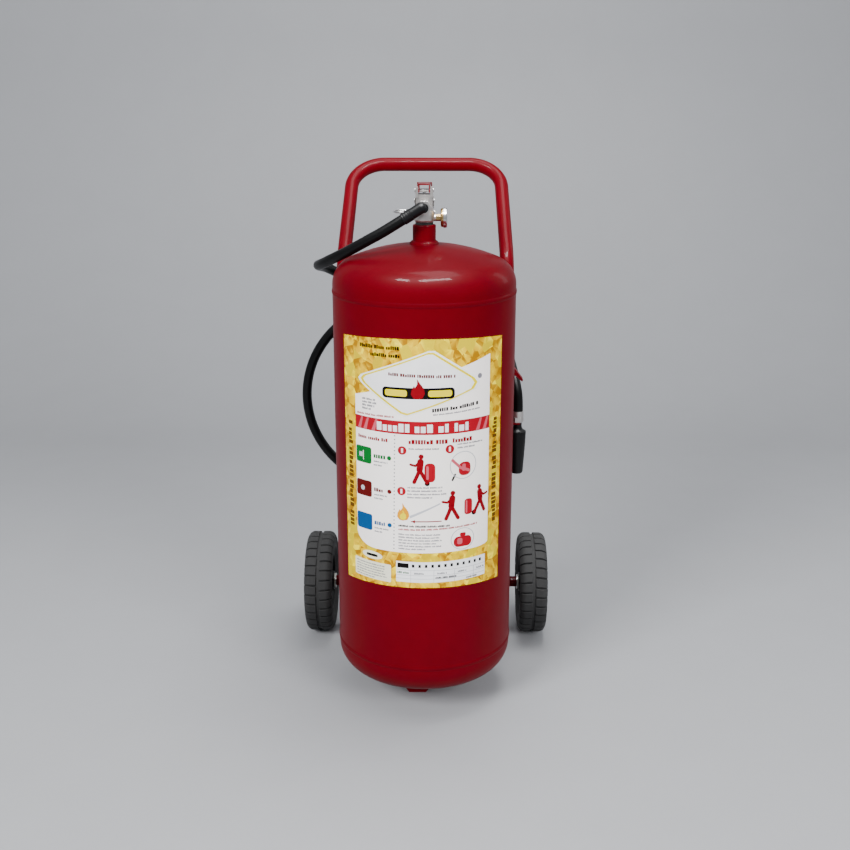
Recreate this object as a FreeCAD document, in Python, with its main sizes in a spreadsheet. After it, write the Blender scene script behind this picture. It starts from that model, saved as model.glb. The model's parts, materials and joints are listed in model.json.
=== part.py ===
# Wheeled powder fire extinguisher: a welded tank on an axle with two solid wheels, a leaning
# push handle, a squeeze-lever valve with its gauge, and a hose that is looped behind the tank.
# Frame: +Z up, X to the right as seen from the label, Y towards the handle and the wheels.
# The origin is on the floor, under the middle of the machine; millimetres throughout.
import FreeCAD, Part
import math
import os
import re

import Sketcher

DOC = FreeCAD.newDocument("WheeledExtinguisher")
SHEET = DOC.addObject("Spreadsheet::Sheet", "Dims")
NODES = {}
V = FreeCAD.Vector

# ---------------------------------------------------------------- driving dimensions

DIMENSIONS = {
    # tank
    "axis_y": -109.8, "tank_r": 200, "wall": 3.2, "low_seam_z": 137, "high_seam_z": 951,
    "low_tangent_z": 122, "high_tangent_z": 965.5, "crown_r": 430, "knuckle_r": 58,
    "weld_half": 5.6, "weld_rise": 1.4, "neck_r": 25, "neck_bore_r": 18, "neck_base_z": 1040,
    "neck_top_z": 1092, "neck_edge_r": 3, "neck_weld_leg": 9, "neck_weld_r": 24,
    # label and foot
    "label_low_z": 333, "label_high_z": 882, "label_half_angle": 56, "label_turn": -0.65,
    "label_thick": 0.5,
    "foot_x": -15, "foot_y": -40, "foot_depth": 36, "foot_low_w": 40, "foot_high_w": 130,
    "foot_top_z": 62, "foot_wall": 4,
    # handle
    "bar_r": 16, "bar_wall": 2, "leg_x": 186, "leg_y": 116, "leg_low_z": 812, "leg_bend_z": 988,
    "grip_x": 176, "grip_y": 357, "grip_z": 1193, "grip_corner_r": 78, "leg_bend_r": 110,
    "saddle_high": 40, "saddle_wide": 22, "saddle_root": 4, "upper_saddle_z": 890,
    "lower_saddle_z": 820, "plug_head": 3, "plug_neck": 8,
    # axle, gussets and wheels
    "axle_y": 182.1, "axle_z": 129, "axle_r": 10, "axle_half": 316.5, "sleeve_r": 13.5,
    "sleeve_bore_r": 10.4, "sleeve_half": 235.7, "gusset_x": 90, "gusset_thick": 6,
    "gusset_high": 210, "wheel_x": 273.5, "tyre_r": 129, "tyre_half": 35, "shoulder_r": 17,
    "rim_r": 76, "rim_half": 28, "rim_flange": 4, "rim_web": 4, "hub_r": 24, "hub_half": 33,
    "bush_r": 14, "bush_bore_r": 10.06, "bush_long": 20, "flange_r": 18, "flange_thick": 1.5,
    "washer_r": 19, "washer_thick": 2.5, "end_gap": 0.3, "split_pin_r": 1.6,
    "split_pin_long": 32, "split_pin_in": 3.4, "split_eye_r": 4.5, "split_eye_wire": 2,
    # valve
    "gasket_r": 19, "gasket_high": 4, "valve_low_r": 22.5, "valve_half_w": 18,
    "valve_front_y": -14, "valve_back_y": 16, "block_top_z": 1156, "cheek_top_z": 1171,
    "cheek_gap": 12.9, "outlet_z": 1131, "outlet_r": 13, "chamber_r": 9.5, "seat_z": 1121,
    "stem_r": 3.95, "stem_bore_r": 4, "stem_top_z": 1160.2, "pad_gap": 0.6, "disc_r": 8,
    "disc_thick": 4, "seal_thick": 2.8, "pivot_y": -11, "pivot_z": 1165, "pin_head_r": 4.5,
    "pivot_r": 3, "pivot_hole_r": 3.06, "lever_half_w": 12.5, "lever_top_z": 1179,
    "lever_thick": 3, "lever_end_y": 118, "palm_half_w": 16, "palm_start_y": 22,
    "palm_edge": 2.5, "palm_drop": 11, "grip_plate_z": 1134, "grip_start_y": 20, "grip_thick": 2,
    "grip_long": 98, "grip_drop": 16, "rivet_y": 2, "rivet_z": 1142, "rivet_r": 2.5,
    "rivet_core": 14, "spring_r": 6.4, "spring_wire_r": 0.8, "spring_pitch": 3.8,
    "siphon_wall": 2, "siphon_low_z": 62,
    # safety pin and gauge
    "pin_y": 13.5, "pin_z": 1117.5, "pin_r": 2.5, "pin_hole_r": 2.55, "ring_r": 19.5,
    "ring_wire_r": 2, "gauge_z": 1106, "gauge_r": 21, "gauge_back_x": 35, "gauge_deep": 14,
    "gauge_shank_r": 5, "gauge_flats": 13, "dial_r": 18.5, "needle_long": 15,
    # hose, gun and hooks
    "hose_r": 11.5, "ferrule_long": 22, "elbow_arm": 23, "turn_outer_r": 233, "turn_outer_x": -60,
    "turn_outer_y": 252, "turn_outer_z": 642, "turn_inner_r": 190, "turn_inner_x": -4,
    "turn_inner_y": 228, "turn_inner_z": 685, "nut_flats": 28, "nut_long": 14, "port_r": 5.5,
    "rest_r": 70, "rest_wall": 4, "rest_lip": 14, "rest_x": -32, "rest_z": 789,
    "rest_start_y": 150, "rest_end_y": 278,
    "gun_x": 214, "gun_y": 60, "gun_low_z": 511, "gun_top_z": 634, "gun_flow_r": 7,
    "gun_belly_r": 19.5, "gun_neck_r": 9.5, "gun_nut_flats": 23, "ferrule_r": 12.6,
    "gun_ferrule_top_z": 660, "trigger_y": 100, "trigger_pivot_z": 619, "trigger_low_z": 524,
    "trigger_w": 11.4, "trigger_pin_r": 2, "plunger_z": 588, "plunger_y": 9, "plunger_r": 4,
    "plunger_hole_r": 4.06, "guide_deep": 26,
}

# The hose's own routes, which are not coiled: from the valve to the top of the outer turn, and
# from the top of the inner turn to the gun.  Y is measured from the tank's axis.
LEAD_ROUTE = [
    (-44, -57, 1108), (-82, -57, 1084), (-120, -49, 1063), (-158, -30, 1040), (-197, 2, 1018),
    (-230, 44, 998), (-243, 96, 988), (-229, 152, 976), (-196, 202, 949), (-152, 242, 912),
    (-108, 259, 886), (-60, 252, 875),
]
TAIL_ROUTE = [
    (-4, 228, 875), (46, 222, 873), (94, 218, 862), (139, 203, 838), (172, 176, 808),
    (192, 140, 780), (201, 104, 752), (209, 76, 720), (214, 60, 690), (214, 60, 660),
]


# Each gusset's outline behind the tank, as (back, up) from the axle.
GUSSET_OUTLINE = [("-130", "-58"), ("-20", "-24"), ("12", "-22"), ("22", "-12"), ("22", "14"),
                  ("8", "24"), ("-60", "150"), ("-130", "gusset_high")]

# The lever's side flange, as (back, up) from the tank's axis and from the floor.
FLANGE_OUTLINE = [("-18", "1160"), ("3", "1160"), ("18", "1163"), ("26", "1168.5"),
                  ("26", "lever_top_z - 1"), ("-18", "lever_top_z - 1")]

# The trigger's outline, as (back, up) from its pivot.
TRIGGER_OUTLINE = [("-4", "5"), ("4", "5"), ("4", "-20"), ("2.5", "-60"),
                   ("9", "trigger_low_z - trigger_pivot_z + 3"),
                   ("6", "trigger_low_z - trigger_pivot_z"),
                   ("-1.5", "-60"), ("-2", "-20"), ("-4", "-6")]

# The sloped strip beside the tank, as (right, up).
GUIDE_OUTLINE = [("188", "776"), ("198", "776"), ("221", "745"), ("219", "741"), ("188", "768")]


def fill_sheet():
    """Write every driving dimension into the sheet as plain text with an alias."""
    for row, (alias, size) in enumerate(DIMENSIONS.items(), start=1):
        SHEET.set(f"A{row}", alias)
        SHEET.set(f"B{row}", str(size))
        SHEET.setAlias(f"B{row}", alias)
    DOC.recompute()


WORDS = re.compile(r"\b(" + "|".join(sorted(DIMENSIONS, key=len, reverse=True)) + r")\b")


def full(expression):
    """The same expression with each alias written as a reference to the sheet."""
    return WORDS.sub(r"Dims.\1", str(expression))


def number(expression):
    """The expression's value now, for starting geometry and for placed shapes."""
    return float(SHEET.evalExpression(str(expression)))


# ---------------------------------------------------------------- helpers

TURNS = {
    "z": (0, 0, 1, 0), "-z": (1, 0, 0, 180), "x": (0, 1, 0, 90), "-x": (0, 1, 0, -90),
    "y": (1, 0, 0, -90), "-y": (1, 0, 0, 90),
}


def place(thing, at, turn="z"):
    """Turn a thing so that its own Z points along turn, and bind its place to expressions."""
    spin = TURNS[turn] if isinstance(turn, str) else turn
    thing.Placement = FreeCAD.Placement(V(), FreeCAD.Rotation(V(*spin[:3]), spin[3]))
    for axis, expression in zip("xyz", at):
        thing.setExpression("Placement.Base." + axis, full(expression))
    return thing


def bound(kind, name, at=None, turn="z", **sizes):
    """A Part primitive with every size, and its place if it has one yet, bound to the sheet."""
    thing = DOC.addObject(kind, name)
    for key, expression in sizes.items():
        thing.setExpression(key, full(expression))
    return place(thing, at, turn) if at else thing


def cylinder(name, radius, height, at, turn="z"):
    """A bar of one radius from one end's middle."""
    return bound("Part::Cylinder", name, at, turn, Radius=radius, Height=height)


def box(name, size, at):
    """A box of three sizes from its lowest corner."""
    return bound("Part::Box", name, at, Length=size[0], Width=size[1], Height=size[2])


def torus(name, radius, wire, at, turn="z"):
    """A ring of round wire about its own Z."""
    return bound("Part::Torus", name, at, turn, Radius1=radius, Radius2=wire)


def hexagon(name, across, height, at, turn="z"):
    """A hexagonal bar from its width across flats."""
    prism = bound("Part::Prism", name, at, turn, Circumradius=f"({across}) / sqrt(3)", Height=height)
    prism.Polygon = 6
    return prism


def fuse(name, *shapes):
    """The shapes joined into one solid."""
    joined = DOC.addObject("Part::MultiFuse", name)
    joined.Shapes = list(shapes)
    return joined


def cut(name, base, *tools):
    """The base with one or more tools taken away."""
    result = DOC.addObject("Part::Cut", name)
    result.Base = base
    result.Tool = tools[0] if len(tools) == 1 else fuse(name + "_tools", *tools)
    return result


def node(name, thing):
    """Name a finished sub-part and list it for export."""
    thing.Label = name
    NODES[name] = thing
    return thing


def group(name, *shapes):
    """Separate solids that are one kind of fastener, kept as one compound."""
    compound = DOC.addObject("Part::Compound", name)
    compound.Links = list(shapes)
    return node(name, compound)


def start_geometry(corners):
    """Lines and arcs through the corners' present values."""
    points = [V(number(c[0]), number(c[1]), 0) for c in corners]
    shapes = []
    for index, start in enumerate(points):
        end = points[(index + 1) % len(points)]
        bulge = corners[(index + 1) % len(points)][2:]
        if not bulge:
            shapes.append(Part.LineSegment(start, end))
            continue
        radius, side = number(bulge[0]), bulge[1]
        chord = end - start
        inward = V(chord.y, -chord.x, 0).normalize() * side
        depth = math.sqrt(max(radius ** 2 - (chord.Length / 2) ** 2, 0))
        centre = (start + end) * 0.5 + inward * depth
        low, high = (end, start) if side == 1 else (start, end)
        angles = [math.atan2(p.y - centre.y, p.x - centre.x) for p in (low, high)]
        shapes.append(Part.ArcOfCircle(Part.Circle(centre, V(0, 0, 1), radius), *angles))
    return shapes


def draw(sketch, corners):
    """Draw a closed outline of (x, y) or (x, y, radius, side) corners and bind it fully.

    A corner with a radius is reached by an arc, which bulges to the left of its chord when side
    is 1 and to the right when it is -1.
    """
    first = sketch.GeometryCount
    for shape in start_geometry(corners):
        sketch.addGeometry(shape, False)
    count = len(corners)

    def ends(index):
        """The sketch's numbers for where a stretch starts and ends; arcs run anticlockwise."""
        side = corners[(index + 1) % count][3:]
        return (2, 1) if side and side[0] == 1 else (1, 2)

    for index in range(count):
        after = (index + 1) % count
        sketch.addConstraint(Sketcher.Constraint(
            "Coincident", first + index, ends(index)[1], first + after, ends(after)[0]))
        for kind, expression in (("DistanceX", corners[index][0]), ("DistanceY", corners[index][1])):
            at = first + index
            bind = sketch.addConstraint(Sketcher.Constraint(
                kind, -1, 1, at, ends(index)[0], number(expression)))
            sketch.setExpression(f"Constraints[{bind}]", full(expression))
        if corners[after][2:]:
            radius = corners[after][2]
            bind = sketch.addConstraint(Sketcher.Constraint("Radius", first + index, number(radius)))
            sketch.setExpression(f"Constraints[{bind}]", full(radius))


def body_with(name, plane, outlines):
    """A PartDesign body with one sketch on one of its own origin planes."""
    body = DOC.addObject("PartDesign::Body", name)
    sketch = body.newObject("Sketcher::SketchObject", name + "_sketch")
    origin = next(f for f in body.Origin.OriginFeatures if f.Role == plane)
    sketch.AttachmentSupport = [(origin, "")]
    sketch.MapMode = "FlatFace"
    for corners in outlines:
        draw(sketch, corners)
    return body, sketch


def revolve(name, corners, at, turn="z"):
    """A round solid from an outline of (radius, height) corners about its own Z."""
    body, sketch = body_with(name, "XZ_Plane", [corners])
    turned = body.newObject("PartDesign::Revolution", name + "_turn")
    turned.Profile = sketch
    turned.ReferenceAxis = (sketch, ["V_Axis"])
    turned.Angle = 360
    sketch.Visibility = False
    return place(body, at, turn)


def plate(name, plane, corners, thick, at, *holes):
    """A flat plate, half its thickness each side of the plane, with optional outlines cut out."""
    body, sketch = body_with(name, plane, [corners, *holes])
    pad = body.newObject("PartDesign::Pad", name + "_pad")
    pad.Profile = sketch
    pad.setExpression("Length", full(thick))
    pad.Midplane = True
    sketch.Visibility = False
    return place(body, at)


def rounded_path(points, radii):
    """Straight runs joined by tangent arcs; one radius for each inner point."""
    edges = []
    start = points[0]
    for before, corner, after, radius in zip(points, points[1:], points[2:], radii):
        back, ahead = (before - corner).normalize(), (after - corner).normalize()
        half_turn = (math.pi - back.getAngle(ahead)) / 2
        reach = radius * math.tan(half_turn)
        middle = (back + ahead).normalize() * (radius / math.cos(half_turn) - radius)
        into, out = corner + back * reach, corner + ahead * reach
        edges.append(Part.LineSegment(start, into).toShape())
        edges.append(Part.Arc(into, corner + middle, out).toShape())
        start = out
    edges.append(Part.LineSegment(start, points[-1]).toShape())
    return Part.Wire(edges)


def sweep(name, path, radius):
    """A round bar of one radius along a path object."""
    ring = bound("Part::Circle", name + "_ring", Radius=radius)
    first = path.Shape.Edges[0]
    heading = first.tangentAt(first.FirstParameter)
    ring.Placement = FreeCAD.Placement(first.valueAt(first.FirstParameter),
                                       FreeCAD.Rotation(V(0, 0, 1), heading))
    swept = DOC.addObject("Part::Sweep", name)
    swept.Sections = [ring]
    swept.Spine = (path, [f"Edge{i + 1}" for i in range(len(path.Shape.Edges))])
    swept.Solid = True
    swept.Frenet = False
    return swept


def path_object(name, wire):
    """A wire in the document, for sweeps to follow."""
    path = DOC.addObject("Part::Feature", name)
    path.Shape = wire
    return path


# ---------------------------------------------------------------- tank

AXIS = ("0", "axis_y", "0")


def dish(offset, hole, start):
    """Outline corners of one side of a dished head, from its skirt up to its hole.

    offset is how far inside the outer face the side lies, and start is the skirt's height
    below the tangent line, which is the outline's zero.
    """
    knuckle_x = "(tank_r - knuckle_r)"
    drop = f"sqrt((crown_r - knuckle_r)^2 - {knuckle_x}^2)"
    share = f"((crown_r - {offset}) / (crown_r - knuckle_r))"
    return [
        (f"tank_r - {offset}", start),
        (f"tank_r - {offset}", "0"),
        (f"{knuckle_x} * {share}", f"{drop} * {share} - {drop}", f"knuckle_r - {offset}"),
        (hole, f"sqrt((crown_r - {offset})^2 - ({hole})^2) - {drop}", f"crown_r - {offset}"),
    ]


def dished_head(name, hole, skirt, at, turn):
    """A pressed head: outer side up, then inner side back down."""
    outer = [c if len(c) == 2 else (*c, -1) for c in dish("0", hole, skirt)]
    inner = dish("wall", hole, skirt)
    back = [(inner[3][0], inner[3][1]), (*inner[2][:2], inner[3][2], 1),
            (*inner[1][:2], inner[2][2], 1), inner[0]]
    return revolve(name, outer + back, at, turn)


def tank_envelope(name):
    """The tank's whole outside as one solid, for trimming what is welded to it."""
    low = revolve(name + "_low", [("0", "0"), *solid_dish()], ("0", "axis_y", "low_tangent_z"), "-z")
    high = revolve(name + "_high", [("0", "0"), *solid_dish()], ("0", "axis_y", "high_tangent_z"))
    middle = cylinder(name + "_middle", "tank_r", "high_tangent_z - low_tangent_z",
                      ("0", "axis_y", "low_tangent_z"))
    return fuse(name, low, middle, high)


def solid_dish():
    """Outline corners of a head's outer side, closed to the axis."""
    return [c if len(c) == 2 else (*c, -1) for c in dish("0", "0", "0")[1:]]


def make_tank():
    """Shell, two dished heads, seam welds, and the neck with its fillet weld."""
    node("tank_shell", revolve("tank_shell", [
        ("tank_r - wall", "low_seam_z"), ("tank_r", "low_seam_z"),
        ("tank_r", "high_seam_z"), ("tank_r - wall", "high_seam_z")], AXIS))
    node("top_head", dished_head("top_head", "neck_r", "high_seam_z - high_tangent_z",
                                 ("0", "axis_y", "high_tangent_z"), "z"))
    node("bottom_head", dished_head("bottom_head", "0", "low_tangent_z - low_seam_z",
                                    ("0", "axis_y", "low_tangent_z"), "-z"))
    bead = "(weld_half^2 + weld_rise^2) / (2 * weld_rise)"
    for name, seam in (("upper_weld", "high_seam_z"), ("lower_weld", "low_seam_z")):
        node(name, revolve(name, [("tank_r", "-weld_half"), ("tank_r", "weld_half", bead, -1)],
                           ("0", "axis_y", seam)))
    node("neck_boss", revolve("neck_boss", [
        ("neck_bore_r", "neck_base_z"), ("neck_r", "neck_base_z"), ("neck_r", "neck_top_z - neck_edge_r"),
        ("neck_r - neck_edge_r", "neck_top_z", "neck_edge_r", -1), ("neck_bore_r", "neck_top_z")], AXIS))
    drop = "sqrt((crown_r - knuckle_r)^2 - (tank_r - knuckle_r)^2)"
    base = f"high_tangent_z - {drop}"
    outer = "neck_r + neck_weld_leg"
    node("neck_weld", revolve("neck_weld", [
        ("neck_r", f"{base} + sqrt(crown_r^2 - neck_r^2)"),
        (outer, f"{base} + sqrt(crown_r^2 - ({outer})^2)", "crown_r", 1),
        ("neck_r", f"{base} + crown_r + neck_weld_leg", "neck_weld_r", 1)], AXIS))


def make_label():
    """A thin film wrapped on the shell, turned a little from the front."""
    start = 270 + number("label_turn") - number("label_half_angle")
    outer = bound("Part::Cylinder", "label_sheet", ("0", "axis_y", "label_low_z"), (0, 0, 1, start),
                  Radius="tank_r + label_thick", Height="label_high_z - label_low_z",
                  Angle="2 * label_half_angle")
    inner = cylinder("label_core", "tank_r", "label_high_z - label_low_z + 2",
                     ("0", "axis_y", "label_low_z - 1"))
    node("label", cut("label", outer, inner))


def foot_outline(inset, base):
    """The foot's tapered outline, drawn in by inset on each slanted side."""
    return [(f"-foot_low_w / 2 + {inset}", base), (f"foot_low_w / 2 - {inset}", base),
            (f"foot_high_w / 2 - {inset}", "foot_top_z"),
            (f"-foot_high_w / 2 + {inset}", "foot_top_z")]


def make_foot(envelope):
    """A folded steel foot: front and slanted sides closed, open to the back."""
    at = ("foot_x", "axis_y + foot_y", "0")
    outside = plate("foot_outside", "XZ_Plane", foot_outline("0", "0"), "foot_depth", at)
    inside = plate("foot_inside", "XZ_Plane", foot_outline("foot_wall", "foot_wall"), "foot_depth",
                   ("foot_x", "axis_y + foot_y + foot_wall", "0"))
    node("front_foot", cut("front_foot", outside, inside, envelope))


# ---------------------------------------------------------------- handle

def handle_points():
    """Corner points of the handle's centre line, from the left foot to the right foot."""
    middle = number("axis_y")
    side = [V(number("leg_x"), middle + number("leg_y"), number("leg_low_z")),
            V(number("leg_x"), middle + number("leg_y"), number("leg_bend_z")),
            V(number("grip_x"), middle + number("grip_y"), number("grip_z"))]
    left = [V(-p.x, p.y, p.z) for p in side]
    return left + side[::-1]


def make_handle(envelope):
    """The bent tube, its end plugs and the four blocks that join it to the tank."""
    bend, corner = number("leg_bend_r"), number("grip_corner_r")
    path = path_object("handle_path", rounded_path(handle_points(), [bend, corner, corner, bend]))
    outside = sweep("handle_outside", path, "bar_r")
    inside = sweep("handle_inside", path, "bar_r - bar_wall")
    node("handle_tube", cut("handle_tube", outside, inside))
    plugs, saddles = [], []
    for side, sign in (("left", -1), ("right", 1)):
        leg = (f"{sign} * leg_x", "axis_y + leg_y")
        plugs.append(fuse(f"{side}_plug",
                          cylinder(f"{side}_plug_head", "bar_r", "plug_head",
                                   (*leg, "leg_low_z - plug_head")),
                          cylinder(f"{side}_plug_neck", "bar_r - bar_wall", "plug_neck",
                                   (*leg, "leg_low_z"))))
        for level in ("upper", "lower"):
            saddles.append(make_saddle(f"{side}_{level}_saddle", sign, f"{level}_saddle_z", envelope))
    group("handle_end_plugs", *plugs)
    group("handle_saddles", *saddles)


def make_saddle(name, sign, height, envelope):
    """A weld block between the tank's wall and one leg of the handle."""
    block = bound("Part::Box", name + "_block", Length="saddle_wide", Width="saddle_wide",
                  Height="saddle_high")
    bearing = math.degrees(math.atan2(number("leg_y"), sign * number("leg_x")))
    turn = FreeCAD.Rotation(V(0, 0, 1), bearing)
    near = number("tank_r") - number("saddle_root")
    corner = turn.multVec(V(near, -number("saddle_wide") / 2, 0))
    block.Placement = FreeCAD.Placement(
        corner + V(0, number("axis_y"), number(height)), turn)
    leg = cylinder(name + "_leg", "bar_r", "saddle_high + 2",
                   (f"{sign} * leg_x", "axis_y + leg_y", f"{height} - 1"))
    return cut(name, block, envelope, leg)


# ---------------------------------------------------------------- axle and wheels

def make_axle(envelope):
    """The rod in its sleeve, and what each of its ends carries."""
    at = ("-sleeve_half", "axle_y", "axle_z")
    sleeve = cylinder("sleeve_outside", "sleeve_r", "2 * sleeve_half", at, "x")
    bore = cylinder("sleeve_bore", "sleeve_bore_r", "2 * sleeve_half", at, "x")
    node("axle_sleeve", cut("axle_sleeve", sleeve, bore))
    rod = cylinder("axle_rod", "axle_r", "2 * axle_half", ("-axle_half", "axle_y", "axle_z"), "x")
    holes = [cylinder(f"{side}_axle_hole", "split_pin_r", "4 * axle_r",
                      (f"{sign} * (axle_half - split_pin_in)", "axle_y", "axle_z - 2 * axle_r"))
             for side, sign in (("left", -1), ("right", 1))]
    node("axle", cut("axle", rod, *holes))
    for side, sign in (("left", -1), ("right", 1)):
        make_gusset(side, sign, envelope)
        make_wheel(side, sign)
        make_axle_end(side, sign)


def make_gusset(side, sign, envelope):
    """The plate that carries the axle's sleeve behind the tank."""
    sheet = plate(f"{side}_gusset_plate", "YZ_Plane", GUSSET_OUTLINE, "gusset_thick",
                  (f"{sign} * gusset_x", "axle_y", "axle_z"))
    sleeve = cylinder(f"{side}_gusset_hole", "sleeve_r", "4 * gusset_thick",
                      (f"{sign} * gusset_x - 2 * gusset_thick", "axle_y", "axle_z"), "x")
    node(f"{side}_gusset", cut(f"{side}_gusset", sheet, envelope, sleeve, NODES["lower_weld"]))


def make_wheel(side, sign):
    """A solid tyre, a webbed rim and two flanged bushes, all round about the axle."""
    at = (f"{sign} * wheel_x", "axle_y", "axle_z")
    turn = "x" if sign > 0 else "-x"
    node(f"{side}_tyre", revolve(f"{side}_tyre", [
        ("rim_r", "-rim_half"), ("rim_r + 10", "-tyre_half + 1"), ("tyre_r - 24", "-tyre_half"),
        ("tyre_r - shoulder_r", "-tyre_half"), ("tyre_r", "shoulder_r - tyre_half", "shoulder_r", -1),
        ("tyre_r", "tyre_half - shoulder_r"), ("tyre_r - shoulder_r", "tyre_half", "shoulder_r", -1),
        ("tyre_r - 24", "tyre_half"), ("rim_r + 10", "tyre_half - 1"), ("rim_r", "rim_half")],
        at, turn))
    node(f"{side}_rim", revolve(f"{side}_rim", [
        ("bush_r", "-hub_half"), ("hub_r", "-hub_half"), ("hub_r + 1", "-rim_web - 1"),
        ("rim_r - rim_flange - 2", "-rim_web"), ("rim_r - rim_flange", "-rim_half"),
        ("rim_r", "-rim_half"), ("rim_r", "rim_half"), ("rim_r - rim_flange", "rim_half"),
        ("rim_r - rim_flange - 2", "rim_web"), ("hub_r + 1", "rim_web + 1"), ("hub_r", "hub_half"),
        ("bush_r", "hub_half")], at, turn))
    bushes = []
    for end, lean in (("inner", "-z"), ("outer", "z")):
        way = {"z": turn, "-z": "-x" if turn == "x" else "x"}[lean]
        bushes.append(revolve(f"{side}_{end}_bush", [
            ("bush_bore_r", "hub_half - bush_long"), ("bush_r", "hub_half - bush_long"),
            ("bush_r", "hub_half"), ("flange_r", "hub_half"), ("flange_r", "hub_half + flange_thick"),
            ("bush_bore_r", "hub_half + flange_thick")], at, way))
    group(f"{side}_bushes", *bushes)


def make_axle_end(side, sign):
    """Two washers and a split pin that keep a wheel on the axle."""
    washers = []
    flange = "hub_half + flange_thick + end_gap"
    for end, start in (("inner", f"wheel_x - ({flange}) - washer_thick"), ("outer", f"wheel_x + {flange}")):
        at = (f"{sign} * ({start})", "axle_y", "axle_z")
        turn = "x" if sign > 0 else "-x"
        washers.append(cut(f"{side}_{end}_washer",
                           cylinder(f"{side}_{end}_disc", "washer_r", "washer_thick", at, turn),
                           cylinder(f"{side}_{end}_eye", "axle_r", "washer_thick", at, turn)))
    group(f"{side}_washers", *washers)
    across = f"{sign} * (axle_half - split_pin_in)"
    low = "axle_z - 15"
    shank = cylinder(f"{side}_pin_shank", "split_pin_r", "split_pin_long", (across, "axle_y", low))
    eye = torus(f"{side}_pin_eye", "split_eye_r", "split_eye_wire",
                (across, "axle_y", f"{low} + split_pin_long + split_eye_r - 1"), "x")
    node(f"{side}_split_pin", fuse(f"{side}_split_pin", shank, eye))


# ---------------------------------------------------------------- valve

def behind(distance):
    """A place measured backwards from the tank's axis."""
    return f"axis_y + {distance}"


def make_valve_body():
    """The forged body, bored for its stem, outlet, gauge, pins and rivets."""
    flask = revolve("valve_flask", [
        ("0", "neck_base_z + 22"), ("neck_bore_r", "neck_base_z + 22"), ("neck_bore_r", "neck_top_z"),
        ("neck_bore_r", "neck_top_z + gasket_high"),
        ("valve_low_r", "neck_top_z + gasket_high + 6", "9", -1),
        ("valve_low_r", "neck_top_z + 24"), ("valve_half_w", "neck_top_z + 36"),
        ("14", "neck_top_z + 38"), ("0", "neck_top_z + 38")], AXIS)
    deep = "valve_back_y - valve_front_y"
    block = box("valve_block", ("2 * valve_half_w", deep, "block_top_z - neck_top_z - 30"),
                ("-valve_half_w", behind("valve_front_y"), "neck_top_z + 30"))
    cheek = ("valve_half_w + 0.6 - cheek_gap", "32", "cheek_top_z - block_top_z + 6")
    cheeks = [box(f"{side}_cheek", cheek, (start, behind("-18"), "block_top_z - 6"))
              for side, start in (("left", "-valve_half_w - 0.6"), ("right", "cheek_gap"))]
    spout = cylinder("valve_spout", "outlet_r", "30", (*AXIS[:2], "outlet_z"), "-y")
    port = cylinder("gauge_port", "7.5", "25", (*AXIS[:2], "gauge_z"), "x")
    solid = fuse("valve_solid", flask, block, *cheeks, spout, port)
    hollows = [
        cylinder("valve_chamber", "chamber_r", "seat_z - neck_base_z", (*AXIS[:2], "neck_base_z")),
        cylinder("valve_seat_bore", "6", "16", (*AXIS[:2], "seat_z - 1")),
        cylinder("stem_guide_bore", "stem_bore_r", "60", (*AXIS[:2], "seat_z")),
        cylinder("outlet_bore", "port_r", "40", (*AXIS[:2], "outlet_z"), "-y"),
        cylinder("gauge_bore", "gauge_shank_r", "30", (*AXIS[:2], "gauge_z"), "x"),
        cylinder("safety_hole", "pin_hole_r", "60", ("-30", behind("pin_y"), "pin_z"), "x"),
        cylinder("pivot_hole", "pivot_r", "60", ("-30", behind("pivot_y"), "pivot_z"), "x"),
        cylinder("rivet_holes", "rivet_r", "60", ("-30", behind("rivet_y"), "rivet_z"), "x"),
    ]
    core = cylinder("rivet_core_bar", "rivet_core", "30", (*AXIS[:2], "rivet_z - 12"))
    hollows[-1] = cut("rivet_hole_pair", hollows[-1], core)
    node("valve_body", cut("valve_body", solid, *hollows))


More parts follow.
